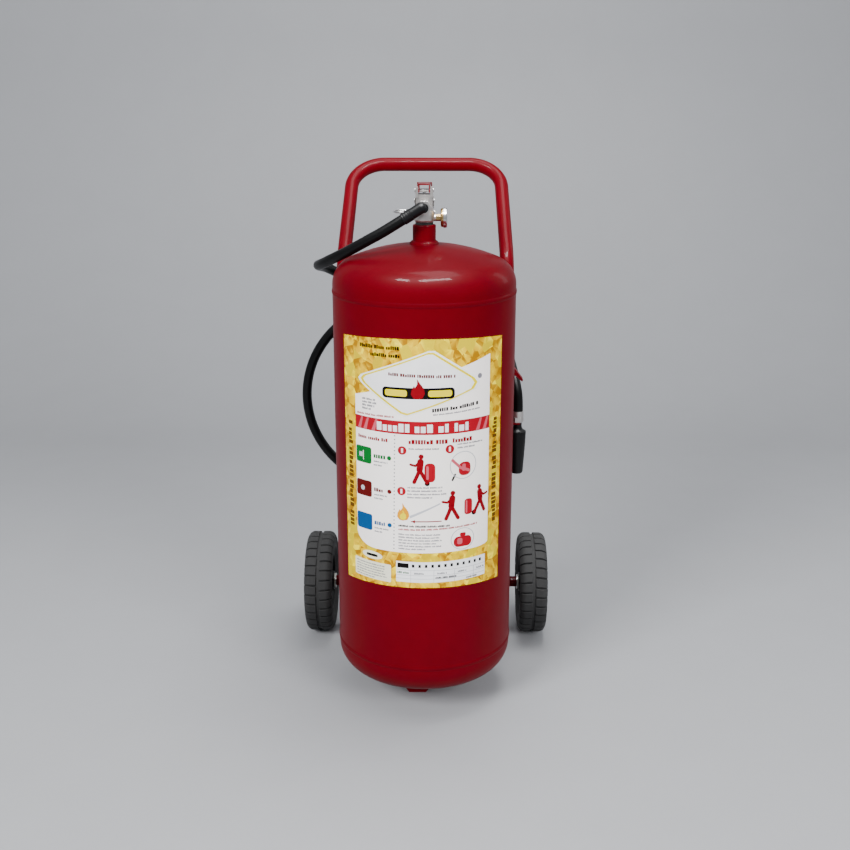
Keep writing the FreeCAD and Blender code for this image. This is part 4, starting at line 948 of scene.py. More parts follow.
@dataclass
class Label:
    """The wrapped film label: gold facets, a white panel, bands, symbols and greeked wording.

    Its artwork is drawn flat, in millimetres: across from the label's own middle line, and up
    from the floor. The outlines of one ink in prints are one piece; the heading, the gleams, the
    badge's bars and the flame's core are pieces of their own, laid over the others.
    """

    tank: Tank
    low: float = 333.5
    high: float = 883.5
    half: float = 196.0
    lean: float = math.radians(-0.65)
    droop: float = 9.0
    film: float = 0.5
    ink: float = 0.10
    panel_half: float = 157.0
    panel_foot: float = 414.0
    panel_left: float = 753.0
    panel_right: float = 842.5
    facet_width: float = 6.0
    seed: int = 11
    prints: dict[Ink, list[Flat]] = field(default_factory=dict)
    heading: list[Flat] = field(default_factory=list)
    gleams: list[Flat] = field(default_factory=list)
    badge_bars: list[Flat] = field(default_factory=list)
    flame_core: list[Flat] = field(default_factory=list)

    def __post_init__(self) -> None:
        """Start the random run that sets the lengths of greeked words."""
        self.random = random.Random(self.seed)

    def wrap(self, across: float, up: float, rise: float) -> Vector:
        """A flat artwork point on the tank's wall, rise millimetres out."""
        angle = self.lean + across * MM / self.tank.radius
        reach = self.tank.radius + rise * MM
        return Vector((reach * math.sin(angle), self.tank.axis_y - reach * math.cos(angle), up * MM))

    def sheet(self, outlines: Sequence[Flat], low: float, high: float) -> Callable[[bmesh.types.BMesh], None]:
        """A thin closed layer of flat outlines, wrapped on the wall.

        Args:
            outlines: Closed outlines in artwork millimetres.
            low: The layer's underside, out from the wall.
            high: Its top.

        Returns:
            The shape for Maker.piece.
        """
        def shape(bm: bmesh.types.BMesh) -> None:
            """Fill the outlines, slice them to follow the curve, wrap and thicken."""
            for outline in outlines:
                bm.faces.new([bm.verts.new((across, 0, up)) for across, up in outline])
            bmesh.ops.triangulate(bm, faces=bm.faces[:])
            reach = max(abs(vert.co.x) for vert in bm.verts)
            cuts = int(reach / self.facet_width)
            for k in range(-cuts, cuts + 1):
                bmesh.ops.bisect_plane(bm, geom=bm.verts[:] + bm.edges[:] + bm.faces[:], dist=1e-4,
                                       plane_co=(k * self.facet_width, 0, 0), plane_no=(1, 0, 0))
            bmesh.ops.remove_doubles(bm, verts=bm.verts[:], dist=1e-3)
            flat = {vert: vert.co.copy() for vert in bm.verts}
            raised = bmesh.ops.extrude_face_region(bm, geom=bm.faces[:])["geom"]
            tops = [item for item in raised if isinstance(item, bmesh.types.BMVert)]
            for vert in tops:
                vert.co = self.wrap(vert.co.x, vert.co.z, high)
            for vert, spot in flat.items():
                vert.co = self.wrap(spot.x, spot.z, low)

        return shape

    def add(self, ink: Ink, *outlines: Flat) -> None:
        """Keep outlines for an ink's layer."""
        self.prints.setdefault(ink, []).extend(outlines)

    @staticmethod
    def box(left: float, right: float, low: float, high: float, corner: float = 0.0) -> Flat:
        """A rectangle, with rounded corners if they have a radius."""
        if not corner:
            return [(left, low), (right, low), (right, high), (left, high)]
        spots = ((right - corner, high - corner, 0), (left + corner, high - corner, 90),
                 (left + corner, low + corner, 180), (right - corner, low + corner, 270))
        return [point for x, y, start in spots for point in arc((x, y), corner, start, start + 90, 5)]

    @staticmethod
    def disc(across: float, up: float, radius: float, squeeze: float = 1.0) -> Flat:
        """A round or oval spot."""
        return [(x, up + (y - up) * squeeze) for x, y in arc((across, up), radius, 0, 345, 23)]

    @staticmethod
    def band(outside: Flat, inside: Flat) -> list[Flat]:
        """A closed line between two outlines with as many points."""
        count = len(outside)
        return [[outside[k], outside[(k + 1) % count], inside[(k + 1) % count], inside[k]]
                for k in range(count)]

    @staticmethod
    def stroke(points: Sequence[Sequence[float]], width: float) -> list[Flat]:
        """A thick line with round joints."""
        strips = [Label.disc(x, y, width / 2) for x, y in points]
        for (x0, y0), (x1, y1) in zip(points, points[1:]):
            long = math.hypot(x1 - x0, y1 - y0)
            dx, dy = (y0 - y1) * width / 2 / long, (x1 - x0) * width / 2 / long
            strips.append([(x0 - dx, y0 - dy), (x1 - dx, y1 - dy), (x1 + dx, y1 + dy), (x0 + dx, y0 + dy)])
        return strips

    def words(self, start: float, end: float, base: float, height: float, climb: float = 0.0,
              upright: int = 0) -> list[Flat]:
        """Blocks that stand for a line of wording too small to read.

        Args:
            start: Where the line starts.
            end: Where it ends.
            base: The line's foot.
            height: The height of its capitals.
            climb: How much the line rises for each millimetre across.
            upright: 1 if the line runs up the label's side, -1 if down, or 0 if across.

        Returns:
            The blocks' outlines.
        """
        blocks, here = [], start
        while here < end - height * 0.4:
            for _ in range(self.random.randint(3, 8)):
                wide = height * self.random.uniform(0.38, 0.66)
                if here + wide > end:
                    break
                tall = height * self.random.choice((1.0, 1.0, 0.74))
                lift = base + climb * (here - start)
                if upright:
                    left, right = sorted((base * upright, (base + tall) * upright))
                    low, high = sorted((here * upright, (here + wide) * upright))
                    blocks.append(self.box(left, right, low, high))
                else:
                    blocks.append([(here, lift), (here + wide, lift + climb * wide),
                                   (here + wide, lift + tall + climb * wide), (here, lift + tall)])
                here += wide + height * 0.17
            here += height * 0.5
        return blocks

    def lines(self, left: float, right: float, top: float, count: int, pitch: float,
              height: float) -> list[Flat]:
        """Several short lines of greeked wording, the last one shorter."""
        found = []
        for k in range(count):
            end = right - self.random.uniform(0, 0.14) * (right - left)
            if k == count - 1 and count > 1:
                end = left + 0.62 * (right - left)
            found += self.words(left, end, top - k * pitch, height)
        return found

    def edge(self, half: float, low: float, high: float, droop: float) -> Flat:
        """The film's outline: its upright sides, with its long edges drooping to the corners."""
        shares = [k / 24 * 2 - 1 for k in range(25)]
        return ([(half * s, low - droop * s * s) for s in shares]
                + [(half * s, high - droop * s * s) for s in reversed(shares)])

    def panel(self) -> Flat:
        """The white panel under a slanted top edge, with a large corner at its lower left."""
        half, foot, wide, high = self.panel_half, self.panel_foot, 52, 34
        corner = [(-half + wide + x * wide, foot + high + y * high)
                  for x, y in arc((0, 0), 1.0, 180, 270, 10)]
        return [*corner, (half - 26, foot + 1.5), (half - 8, foot + 4), (half, foot + 8),
                (half, self.panel_right), (-half, self.panel_left)]

    def draw_top(self) -> None:
        """The plain badge, its flame, and the small wording round it."""
        shape = [(26, 857), (117, 797), (125, 786), (116, 773), (-31, 721), (-44, 724), (-136, 783),
                 (-142, 791), (-134, 799), (14, 857)]
        across, up = -8.0, 789.0

        def scaled(share: float) -> Flat:
            """The badge's outline drawn in towards its middle."""
            return [(across + (x - across) * share, up + (y - up) * share) for x, y in shape]

        self.add(Ink.WHITE, scaled(1.035))
        self.prints[Ink.YELLOW] = self.band(scaled(0.985), scaled(0.925))
        self.add(Ink.BLACK, self.box(-84, 70, 757, 781, 8))
        self.add(Ink.DARK_RED, self.flame(-8, 757, 44, 30))
        self.badge_bars = [self.box(-78, -30, 762, 776, 5), self.box(14, 64, 762, 776, 5)]
        self.add(Ink.MAROON, *self.words(-70, 74, 805, 6.5, -0.03))
        self.add(Ink.BLACK, *self.words(-140, -44, 859, 7.5), *self.words(-112, -44, 843, 7.5),
                 *self.words(22, 128, 729, 7.5, 0.085))
        self.add(Ink.GREY, *self.lines(-136, -98, 746, 4, 7.0, 4.2), *self.words(24, 130, 722, 3.0, 0.06),
                 self.disc(129, 799, 5.5))
        self.add(Ink.RED, *self.words(-152, -58, 712.5, 4.0, 0.02))

    @staticmethod
    def flame(across: float, foot: float, height: float, width: float) -> Flat:
        """A plain two-tongued flame."""
        shares = ((0.0, 0.0), (0.34, 0.06), (0.50, 0.28), (0.44, 0.50), (0.30, 0.66), (0.27, 0.50),
                  (0.14, 0.80), (-0.04, 1.0), (0.00, 0.76), (-0.18, 0.56), (-0.24, 0.66), (-0.42, 0.42),
                  (-0.46, 0.22), (-0.28, 0.04))
        return [(across + x * width, foot + y * height) for x, y in shares]

    def draw_band(self) -> None:
        """The red band with its wide white heading."""
        self.add(Ink.RED, self.box(-self.panel_half, self.panel_half, 680.5, 709))
        self.heading = [*self.words(-98, -22, 685, 18), *self.words(-14, 62, 685, 18),
                        *self.words(70, 116, 685, 18)]
        self.gleams = [[(x, 681.5), (x + 9, 681.5), (x + 16, 708), (x + 11, 708)]
                       for x in (-150, -134, -112, 120, 138)]

    def draw_classes(self) -> None:
        """Three rounded symbols with short wording, down the left column."""
        self.add(Ink.DARK_RED, *self.words(-149, -70, 660, 7.5))
        tiles = ((Ink.GREEN, 605, 642), (Ink.MAROON, 530, 566), (Ink.BLUE, 454, 491))
        for ink, low, high in tiles:
            self.add(ink, self.box(-156, -113, low, high, 5), *self.words(-107, -78, low + 16, 8),
                     self.disc(-70, low + 20, 5))
            self.add(Ink.GREY, *self.lines(-107, -72, low + 7, 2, 8, 3.2))
            self.add(Ink.WHITE, [(-132, low + 4), (-118, low + 4), (-125, low + 16)])
        self.add(Ink.WHITE, self.box(-150, -134, 611, 633, 2),
                 [(-150, 548), (-138, 534), (-126, 548), (-138, 562)],
                 [(-152, 486), (-119, 470), (-119, 464), (-128, 464)], self.box(-150, -140, 458, 467))
        self.add(Ink.PALE_GREY, self.disc(-138, 548, 5.5), self.box(-147, -137, 618, 628, 1))
        for k in range(32):
            self.add(Ink.GREY, self.disc(-57 - 0.12 * k, 676 - 8.2 * k, 1.5))

    def person(self, across: float, foot: float, height: float, side: int = 1) -> list[Flat]:
        """A plain walking figure for the use pictures."""
        def at(x: float, y: float) -> tuple[float, float]:
            """A point of the figure from shares of its height."""
            return across + side * x * height, foot + y * height

        return [*self.stroke([at(-0.18, 0.03), at(-0.08, 0.26), at(0, 0.46)], 0.13 * height),
                *self.stroke([at(0.24, 0.03), at(0.12, 0.24), at(0, 0.46)], 0.13 * height),
                *self.stroke([at(0, 0.48), at(0.03, 0.74)], 0.22 * height),
                *self.stroke([at(0.02, 0.74), at(-0.14, 0.60), at(-0.30, 0.64)], 0.08 * height),
                self.disc(*at(0.05, 0.92), 0.085 * height)]

    def draw_use(self) -> None:
        """The heading, numbered steps and pictures of the right-hand column."""
        self.add(Ink.DARK_RED, *self.words(-27, 58, 660, 9.5), *self.words(66, 116, 661, 9.5))
        for across, up in ((-41, 645), (60, 647.5), (-43, 554.5)):
            self.add(Ink.RED, self.disc(across, up, 9.5))
            self.heading.append(self.box(across - 2, across + 2, up - 5, up + 5))
        self.add(Ink.GREY, *self.words(-27, 40, 648, 3.4), *self.lines(77, 142, 655, 2, 8, 3.4),
                 *self.lines(-30, 56, 562, 4, 7.4, 3.4), *self.lines(-50, 44, 455, 6, 6.6, 3.2))
        self.add(Ink.DARK_RED, *self.person(-4, 574, 64), *self.person(64, 490, 64, 1),
                 *self.person(134, 497, 62, -1), *self.stroke([(-22, 487), (42, 487.5)], 2.4),
                 [(-22, 487), (-14, 491), (-14, 483)])
        self.add(Ink.RED, self.box(6, 29, 576, 618, 9), self.box(94, 113, 496, 532, 7),
                 *self.words(-50, 128, 465.5, 3.8, 0.025), self.box(80, 108, 586, 616, 11),
                 self.box(70, 112, 424, 448, 10), self.box(84, 98, 448, 456, 3))
        self.add(Ink.BLACK, self.disc(12, 573, 5.5), self.disc(118, 498, 6), *self.words(-50, 62, 474, 4.2),
                 *self.stroke([(72, 590), (66, 578)], 4))
        self.add(Ink.PINK, *self.stroke([(66, 622), (84, 604), (104, 596)], 6), self.box(88, 96, 596, 612, 3),
                 self.box(78, 90, 430, 444, 4), self.box(10, 15, 582, 612, 2), self.box(97, 101, 500, 528, 2))
        self.add(Ink.PALE_GREY, [(-25, 494), (40, 526), (40, 529), (-25, 500)],
                 *self.band(self.disc(91, 609, 31), self.disc(91, 609, 29.4)),
                 *self.band(self.disc(91, 442, 28, 0.9), self.disc(91, 442, 26.4, 0.9)))
        self.add(Ink.ORANGE, self.flame(-40, 488, 40, 28))
        self.flame_core.append(self.flame(-40, 490, 22, 15))

    def draw_foot(self) -> None:
        """The lower strip: a plain oval, a note box and a table of months."""
        self.add(Ink.CREAM, self.box(-166, -68, 341, 382, 3), self.disc(-115, 397, 27, 0.34))
        table = (-56.0, 150.0, 346.0, 394.0)
        self.add(Ink.WHITE, self.box(*table))
        self.add(Ink.GREY, *self.lines(-160, -76, 374, 6, 6.0, 2.6))
        self.add(Ink.BLACK, self.box(-130, -100, 394, 400, 2.5), self.box(-53, -28, 379, 390, 1))
        for k in range(12):
            left = -21 + k * 14
            self.add(Ink.BLACK, self.box(left, left + 5.5, 381, 388))
        for up in (374, 362, 354):
            self.add(Ink.PALE_GREY, self.box(table[0], table[1], up, up + 0.9))
        for across in (-24, 26, 72, 118):
            self.add(Ink.PALE_GREY, self.box(across, across + 0.9, 346, 374))
            self.add(Ink.GREY, *self.words(across + 8, across + 30, 365, 4))
        self.add(Ink.BLACK, *self.words(30, 78, 355, 4.2), *self.words(100, 128, 348, 3.4))
        self.add(Ink.GREEN, *self.words(-53, -28, 366, 4.6))

    def draw_sides(self) -> None:
        """Upright greeked wording in the gold strips."""
        for upright, first, last in ((1, 452, 700), (-1, -700, -452)):
            self.add(Ink.BROWN, *self.words(first, last, -182.0, 14.0, upright=upright))

    def make(self, maker: Maker) -> None:
        """The film, the white panel and one thin layer for each ink."""
        film = self.edge(self.half, self.low, self.high, self.droop)
        maker.piece("label_film", FOIL, self.sheet([film], 0.0, self.film), ["label"])
        level = self.film
        maker.piece("label_panel", PAPER, self.sheet([self.panel()], level, level + self.ink))
        for draw in (self.draw_band, self.draw_top, self.draw_classes, self.draw_use, self.draw_foot,
                     self.draw_sides):
            draw()
        above = {Ink.WHITE: 2.2, Ink.YELLOW: 2.6, Ink.CREAM: 2.2, Ink.PINK: 3.6, Ink.PALE_GREY: 3.4,
                 Ink.BLACK: 3.2, Ink.DARK_RED: 3.5, Ink.GREY: 3.0}
        layers = [(ink.name.lower(), ink, outlines, above.get(ink, 2.4))
                  for ink, outlines in self.prints.items()]
        layers += [("heading", Ink.WHITE, self.heading, 3.6), ("band_gleams", Ink.PINK, self.gleams, 2.6),
                   ("badge_bars", Ink.YELLOW, self.badge_bars, 3.6),
                   ("flame_core", Ink.YELLOW, self.flame_core, 3.6)]
        for name, ink, outlines, rise in layers:
            maker.piece("label_" + name, ink.finish(), self.sheet(outlines, level, level + self.ink * rise))


# ---------------------------------------------------------------- handle

@dataclass
class Handle:
    """The bent push handle and the weld blocks that hold it."""

    tank: Tank
    bar: float = 16 * MM
    leg_x: float = 186 * MM
    leg_y: float = 116 * MM
    bend_z: float = 988 * MM
    grip: tuple[float, float, float] = (0.176, 0.357, 1.193)
    bend_radius: float = 110 * MM
    corner_radius: float = 78 * MM
    block: tuple[float, float] = (22 * MM, 40 * MM)
    block_low: tuple[float, float] = (820 * MM, 890 * MM)
    bead: float = 3.2 * MM

    def corners(self) -> list[Vector]:
        """The centre line's corners from the left leg's foot to the right one's."""
        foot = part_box("handle_tube")[0].z
        side = [Vector((self.leg_x, self.tank.axis_y + self.leg_y, foot)),
                Vector((self.leg_x, self.tank.axis_y + self.leg_y, self.bend_z)),
                Vector((self.grip[0], self.tank.axis_y + self.grip[1], self.grip[2]))]
        return [Vector((-p.x, p.y, p.z)) for p in side] + side[::-1]

    def make(self, maker: Maker) -> None:
        """The tube, its end plugs, its blocks and the beads beside them."""
        line = rounded_run(self.corners(), (self.bend_radius, self.corner_radius, self.corner_radius,
                                            self.bend_radius))
        # The bar gets the enamel that is painted lighter, as painted light.
        maker.piece("handle_bar", PAINTED_LIGHT_ENAMEL, lambda bm: sweep(bm, line, lambda _: self.bar, 48),
                    ["handle_tube"])
        maker.refine("handle_end_plugs", PLASTIC, 0.8 * MM)
        maker.refine("handle_saddles", ENAMEL, 0.8 * MM)
        maker.piece("saddle_beads", WELD_ENAMEL, self.beads, crease=60)

    def beads(self, bm: bmesh.types.BMesh) -> None:
        """A rippled bead up each corner where a block meets the tank or the leg."""
        wide, high = self.block
        for sign in (-1, 1):
            leg = Vector((sign * self.leg_x, self.leg_y, 0))
            out = leg.normalized()
            side = Vector((-out.y, out.x, 0))
            near = math.sqrt(self.tank.radius ** 2 - (wide / 2) ** 2)
            far = leg.length - math.sqrt(self.bar ** 2 - (wide / 2) ** 2)
            for low in self.block_low:
                for reach in (near + 1 * MM, far - 1 * MM):
                    for edge in (-1, 1):
                        foot = self.tank.centre(low + 1 * MM) + out * reach + side * edge * wide / 2
                        weld_bead(bm, foot, foot + Vector((0, 0, high - 2 * MM)), self.bead)


def weld_bead(bm: bmesh.types.BMesh, start: Vector, end: Vector, radius: float) -> None:
    """A short straight weld with rounded ends and overlapping ripples.

    Args:
        bm: The mesh that gets the bead.
        start: One end of its root.
        end: The other end.
        radius: How thick it is.
    """
    steps = max(12, round((end - start).length / (0.7 * MM)))
    points = [start.lerp(end, k / steps) for k in range(steps + 1)]

    def thick(share: float) -> float:
        """Full along the middle, closing at the ends, with a ripple."""
        ends = min(1.0, math.sqrt(max(0.0, 1 - (2 * share - 1) ** 6)) + 0.15)
        return radius * ends * (0.88 + 0.12 * abs(math.sin(share * steps * 0.55)))

    sweep(bm, points, thick, 12)


# ---------------------------------------------------------------- wheels

@dataclass
class Wheel:
    """One solid tyre with staggered lugs on a moulded rim, with its bushes and axle end."""

    side: str
    lugs: int = 32
    tread_depth: float = 4.5 * MM
    shoulder: float = 17 * MM
    groove_half: float = 3.5 * MM
    lug_share: float = 0.80
    rim_radius: float = 76 * MM
    rim_half: float = 28 * MM
    ribs_per_face: int = 8
    rib_half: float = 1.6 * MM

    def __post_init__(self) -> None:
        """Read the tyre's place and size from the frame."""
        low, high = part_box(self.side + "_tyre")
        self.middle = (low + high) / 2
        self.radius = (high.z - low.z) / 2
        self.half = (high.x - low.x) / 2
        self.axis = Axis.RIGHT if self.middle.x > 0 else Axis.LEFT
        self.body = self.side + "_wheel"

    def carcass(self, bm: bmesh.types.BMesh) -> None:
        """The tyre under its lugs, with a raised ring by the rim and one under the shoulder."""
        rim_r, rim_half = self.rim_radius, self.rim_half
        crown, wall = self.radius - self.tread_depth, self.half - 1.6 * MM
        turn = self.shoulder - 2 * MM
        side = [(rim_r, rim_half), (rim_r + 3 * MM, rim_half + 2 * MM), (rim_r + 10 * MM, wall - 0.5 * MM),
                (rim_r + 12 * MM, wall + 0.8 * MM), (rim_r + 14 * MM, wall + 0.8 * MM),
                (rim_r + 16 * MM, wall),
                (crown - turn - 8 * MM, wall), (crown - turn - 6 * MM, wall + 1.2 * MM),
                (crown - turn - 2 * MM, wall + 1.2 * MM), (crown - turn, wall)]
        round_off = arc((crown - turn, wall - turn), turn, 90, 0, 8)[1:]
        half = side + round_off
        outline = half + [(r, -x) for r, x in reversed(half)]
        lathe(bm, outline, self.middle, self.axis, 180)

    def lug_section(self) -> Flat:
        """A lug's section, as (across, radius), over the crown and down the shoulder."""
        top = arc((self.half - self.shoulder, self.radius - self.shoulder), self.shoulder, 90, 4, 7)
        root = self.radius - self.tread_depth - 2 * MM
        return [(self.groove_half, root), (self.groove_half + 0.8 * MM, self.radius - 0.2 * MM), *top,
                (self.half - 3.5 * MM, self.radius - self.shoulder - 5 * MM),
                (self.half - 7 * MM, self.radius - self.shoulder - 3 * MM)]

    def tread(self, bm: bmesh.types.BMesh) -> None:
        """Two rows of lugs, half a pitch apart."""
        section, pitch = self.lug_section(), FULL_TURN / self.lugs
        basis = self.axis.basis()
        for row, lag in ((1, 0.0), (-1, 0.5)):
            for k in range(self.lugs):
                middle = (k + lag) * pitch
                faces = []
                for end in (-1, 1):
                    ring = []
                    for across, radius in section:
                        depth = (self.radius - radius) / self.tread_depth
                        spread = pitch * (self.lug_share + 0.10 * min(depth, 1.0)) / 2
                        slant = 0.10 * pitch * across / self.half
                        angle = middle + end * spread + slant
                        ring.append(bm.verts.new(self.middle + basis @ Vector(
                            (radius * math.cos(angle), radius * math.sin(angle), row * across))))
                    faces.append(ring)
                prism(bm, *faces)

    def rim(self, bm: bmesh.types.BMesh) -> None:
        """The rim's dished disc with rounded roots and a beaded edge."""
        outer, half, hub, hub_half, bore = self.rim_radius, self.rim_half, 24 * MM, 33 * MM, 14 * MM
        side = [(bore, hub_half), *arc((hub - 2 * MM, hub_half - 2 * MM), 2 * MM, 90, 0, 5),
                *arc((hub + 7 * MM, 11 * MM), 6 * MM, 180, 270, 6), (outer - 14 * MM, 4.6 * MM),
                *arc((outer - 12 * MM, 10.6 * MM), 6 * MM, 270, 345, 6), (outer - 4.5 * MM, half - 1.5 * MM),
                (outer - 3.5 * MM, half), (outer, half)]
        lathe(bm, side + [(r, -x) for r, x in reversed(side)], self.middle, self.axis, 120)

    def ribs(self, bm: bmesh.types.BMesh) -> None:
        """Thin radial ribs between the hub and the rim's edge, on both faces."""
        basis = self.axis.basis()
        outline = [(22 * MM, 3 * MM), (68 * MM, 3 * MM), (68.4 * MM, 12 * MM), (23 * MM, 24 * MM)]
        for k in range(self.ribs_per_face):
            angle = FULL_TURN * (k + 0.5) / self.ribs_per_face
            along = Vector((math.cos(angle), math.sin(angle), 0))
            across = Vector((-along.y, along.x, 0))
            for face in (-1, 1):
                rings = [[bm.verts.new(self.middle + basis @ (
                    along * radius + across * edge * self.rib_half + Vector((0, 0, face * depth))))
                    for radius, depth in outline] for edge in (-1, 1)]
                prism(bm, *rings)

    def make(self, maker: Maker) -> None:
        """Tyre, lugs, rim, ribs, bushes, washers and split pin."""
        maker.piece(self.side + "_tyre_carcass", TYRE, self.carcass, [self.side + "_tyre"], self.body)
        lugs = maker.piece(self.side + "_tyre_lugs", TYRE, self.tread, body=self.body, crease=30)
        soft = lugs.modifiers.new("moulded_edges", "BEVEL")
        soft.width = 1.1 * MM
        soft.segments = 2
        soft.angle_limit = math.radians(38)
        maker.piece(self.side + "_rim_moulding", RIM_PLASTIC, self.rim, [self.side + "_rim"], self.body)
        maker.piece(self.side + "_rim_ribs", RIM_PLASTIC, self.ribs, body=self.body)
        maker.refine(self.side + "_bushes", NYLON, 0.3 * MM, self.body)
        maker.refine(self.side + "_washers", ZINC, 0.4 * MM)
        maker.paint(self.side + "_split_pin", ZINC)


@dataclass
class Axle:
    """The axle rod in its welded sleeve, and the two gusset plates."""

    tank: Tank
    bead: float = 2.6 * MM

    def make(self, maker: Maker) -> None:
        """The rod, the sleeve, the gussets and the ring beads round the sleeve."""
        maker.refine("axle", ZINC, 0.8 * MM)
        maker.refine("axle_sleeve", ENAMEL, 0.6 * MM)
        for side in ("left", "right"):
            maker.refine(side + "_gusset", ENAMEL, 0.8 * MM)
        maker.piece("gusset_beads", WELD_ENAMEL, self.beads, crease=60)

    def beads(self, bm: bmesh.types.BMesh) -> None:
        """A rippled ring on each face of each gusset, round the sleeve."""
        low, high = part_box("axle_sleeve")
        centre, reach = (low + high) / 2, (high.z - low.z) / 2
        for side in ("left", "right"):
            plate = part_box(side + "_gusset")
            for across in (plate[0].x - 0.6 * MM, plate[1].x + 0.6 * MM):
                steps = 120
                ring = [Vector((across, centre.y + (reach + 0.5 * MM) * math.cos(a),
                                centre.z + (reach + 0.5 * MM) * math.sin(a)))
                        for a in (FULL_TURN * k / steps for k in range(steps))]
                sweep(bm, ring, lambda share: self.bead * (0.9 + 0.1 * abs(math.sin(share * 60))), 10, True)


# ---------------------------------------------------------------- valve and gauge

@dataclass
class Valve:
    """The squeeze-lever valve with everything in and on it."""

    stem_travel: float = 2.618 * MM
    crimp_long: float = 22 * MM
    crimp_radius: float = 13 * MM

    def make(self, maker: Maker) -> None:
        """Body, lever, grip, pins, outlet and the parts inside."""
        maker.refine("valve_body", NICKEL, 0.7 * MM)
        maker.refine("lever", LEVER_COAT, 0.5 * MM, "lever_body")
        maker.refine("carry_grip", GRIP_STEEL, 0.5 * MM)
        maker.refine("lever_pin", ZINC, 0.35 * MM)
        maker.refine("grip_rivets", ZINC, 0.35 * MM)
        maker.paint("safety_pin", ZINC)
        maker.refine("outlet_nut", NICKEL, 0.6 * MM)
        maker.refine("outlet_elbow", PLASTIC, 0.5 * MM)
        maker.paint("neck_gasket", SEAL)
        maker.paint("valve_stem", ZINC)
        maker.paint("stem_seal", SEAL)
        self.make_spring(maker)
        maker.paint("siphon_tube", NYLON)
        maker.piece("hose_crimp", PLASTIC, self.crimp, ["hose_ferrule"])

    def make_spring(self, maker: Maker) -> None:
        """The return spring, with broken edges and a mesh of its own."""
        spring = maker.refine("valve_spring", SPRING, 0.1 * MM)
        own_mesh(spring)

    def crimp(self, bm: bmesh.types.BMesh) -> None:
        """The hose's moulded sleeve, with shallow grooves, in line with the hose's first run."""
        hose = Hose()
        start, ahead = hose.run(hose.lead[:2])
        heading = (ahead - start).normalized()
        steps = 66
        points = [start - heading * self.crimp_long * (1 - k / steps) for k in range(steps + 1)]

        def thick(share: float) -> float:
            """Shallow moulded grooves along the middle, and a rounded lip at each end."""
            groove = max(0.0, math.sin(share * math.pi * 8)) if 0.12 < share < 0.88 else 0.0
            lip = min(1.0, 6 * min(share, 1 - share) + 0.75)
            return self.crimp_radius * lip - 0.25 * MM * groove

        sweep(bm, points, thick, 48)


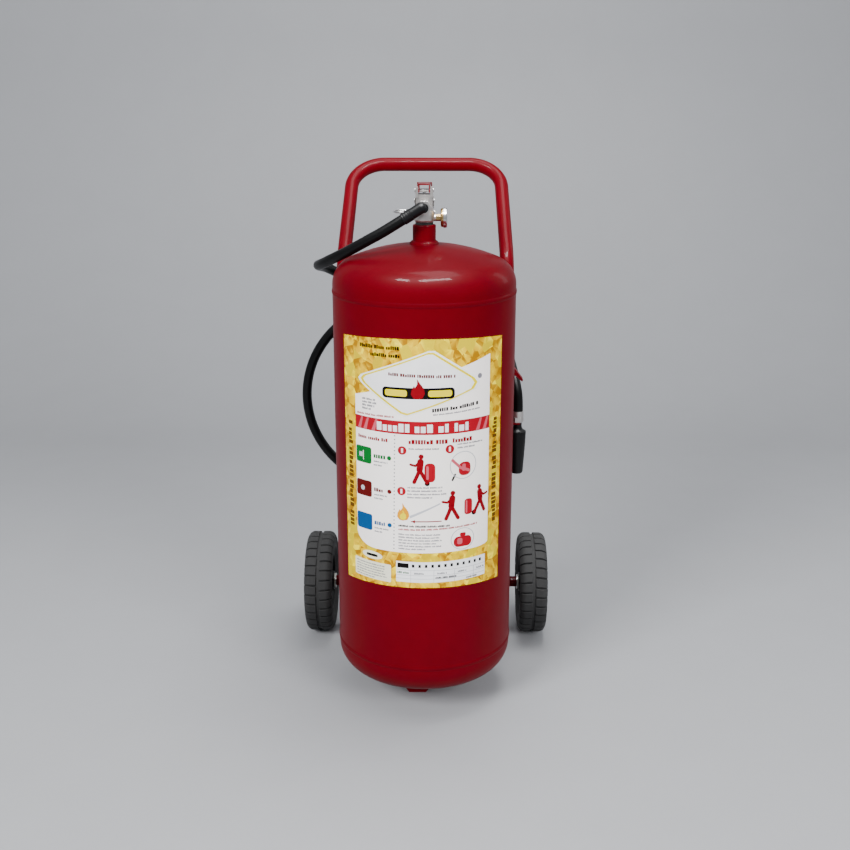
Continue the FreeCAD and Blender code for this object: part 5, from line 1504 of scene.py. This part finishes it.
@dataclass
class Gauge:
    """The pressure gauge on the valve's right side, facing away from it."""

    ticks: int = 13
    spread: float = math.radians(120)
    safe: float = math.radians(32)
    sector: tuple[float, float] = (0.76, 0.88)
    print_rise: float = 0.12 * MM

    def __post_init__(self) -> None:
        """Read the dial's place from the frame."""
        low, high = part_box("gauge_dial")
        self.face = high.x
        self.centre = Vector((high.x, (low.y + high.y) / 2, (low.z + high.z) / 2))
        self.radius = (high.z - low.z) / 2

    def wedge(self, bm: bmesh.types.BMesh, inner: float, outer: float, start: float, end: float) -> None:
        """A thin raised part of a ring on the dial; angles are from straight up."""
        steps = max(1, round(abs(end - start) / math.radians(4)))
        layers = []
        for rise in (0.0, self.print_rise):
            rows = []
            for k in range(steps + 1):
                angle = start + (end - start) * k / steps
                rows.append([bm.verts.new(self.centre + Vector((rise, -radius * math.sin(angle),
                                                                radius * math.cos(angle))))
                             for radius in (inner, outer)])
            layers.append(rows)
        for a, b, c, d in zip(layers[0], layers[0][1:], layers[1], layers[1][1:]):
            bm.faces.new([a[0], a[1], b[1], b[0]])
            bm.faces.new([c[0], d[0], d[1], c[1]])
            bm.faces.new([a[0], b[0], d[0], c[0]])
            bm.faces.new([a[1], c[1], d[1], b[1]])
        for row, top in ((layers[0][0], layers[1][0]), (layers[0][-1], layers[1][-1])):
            bm.faces.new([row[0], row[1], top[1], top[0]])

    def marks(self, bm: bmesh.types.BMesh) -> None:
        """Long and short ticks over the needle's sweep."""
        for k in range(self.ticks):
            angle = self.spread * (2 * k / (self.ticks - 1) - 1)
            inner = 0.66 if k % 3 == 0 else 0.74
            self.wedge(bm, inner * self.radius, 0.92 * self.radius, angle - 0.02, angle + 0.02)

    def make(self, maker: Maker) -> None:
        """Case, dial with its sectors, needle, window and bezel."""
        maker.refine("gauge_stem", BRASS, 0.4 * MM)
        maker.refine("gauge_case", BRASS, 0.5 * MM)
        maker.refine("gauge_bezel", CHROME, 0.5 * MM)
        maker.paint("gauge_dial", DIAL)
        maker.paint("gauge_needle", NEEDLE)
        maker.paint("gauge_lens", LENS)
        low, high = (share * self.radius for share in self.sector)
        edge, safe = self.spread, self.safe
        maker.piece("dial_green_sector", DIAL_GREEN, lambda bm: self.wedge(bm, low, high, -safe, safe))
        maker.piece("dial_red_sectors", DIAL_RED, lambda bm: [
            self.wedge(bm, low, high, -edge, -safe - 0.03), self.wedge(bm, low, high, safe + 0.03, edge)])
        maker.piece("dial_ticks", DIAL_BLACK, self.marks)


# ---------------------------------------------------------------- gun and hooks

@dataclass
class Gun:
    """The discharge gun in its fork, with its coupling, trigger and plunger."""

    def make(self, maker: Maker) -> None:
        """Every part of the gun, and the hooks on the tank."""
        maker.refine("gun_body", PLASTIC, 1.0 * MM)
        maker.refine("gun_trigger", PLASTIC, 0.8 * MM, "trigger_body")
        maker.paint("gun_trigger_pin", ZINC)
        maker.refine("gun_plunger", ZINC, 0.3 * MM, "plunger_body")
        maker.refine("gun_ferrule", NICKEL, 0.6 * MM, name="gun_coupling")
        maker.refine("gun_holder", ENAMEL, 0.6 * MM)
        # The guide gets the enamel that is painted lighter, as painted light.
        maker.refine("hose_guide", PAINTED_LIGHT_ENAMEL, 0.6 * MM)
        maker.refine("hose_rest", ENAMEL, 0.7 * MM)


# ---------------------------------------------------------------- build

def write_sizes() -> None:
    """Bring the scene's transforms up to date."""
    bpy.context.view_layer.update()


def main() -> None:
    """Build the camera, the hose's coupling and hose, and then each sub-assembly."""
    logging.basicConfig(level=logging.INFO, format="%(name)s %(message)s")
    maker = Maker()
    view = View()
    view.make_camera()
    Gun().make(maker)
    Hose().make(maker)
    tank = Tank()
    tank.make(maker)
    Label(tank).make(maker)
    Handle(tank).make(maker)
    Axle(tank).make(maker)
    for side in ("left", "right"):
        Wheel(side).make(maker)
    Valve().make(maker)
    Gauge().make(maker)
    view.make_studio()
    LOG.info("%d pieces dressed", len(maker.made))


if __name__ == "__main__":
    main()
    write_sizes()
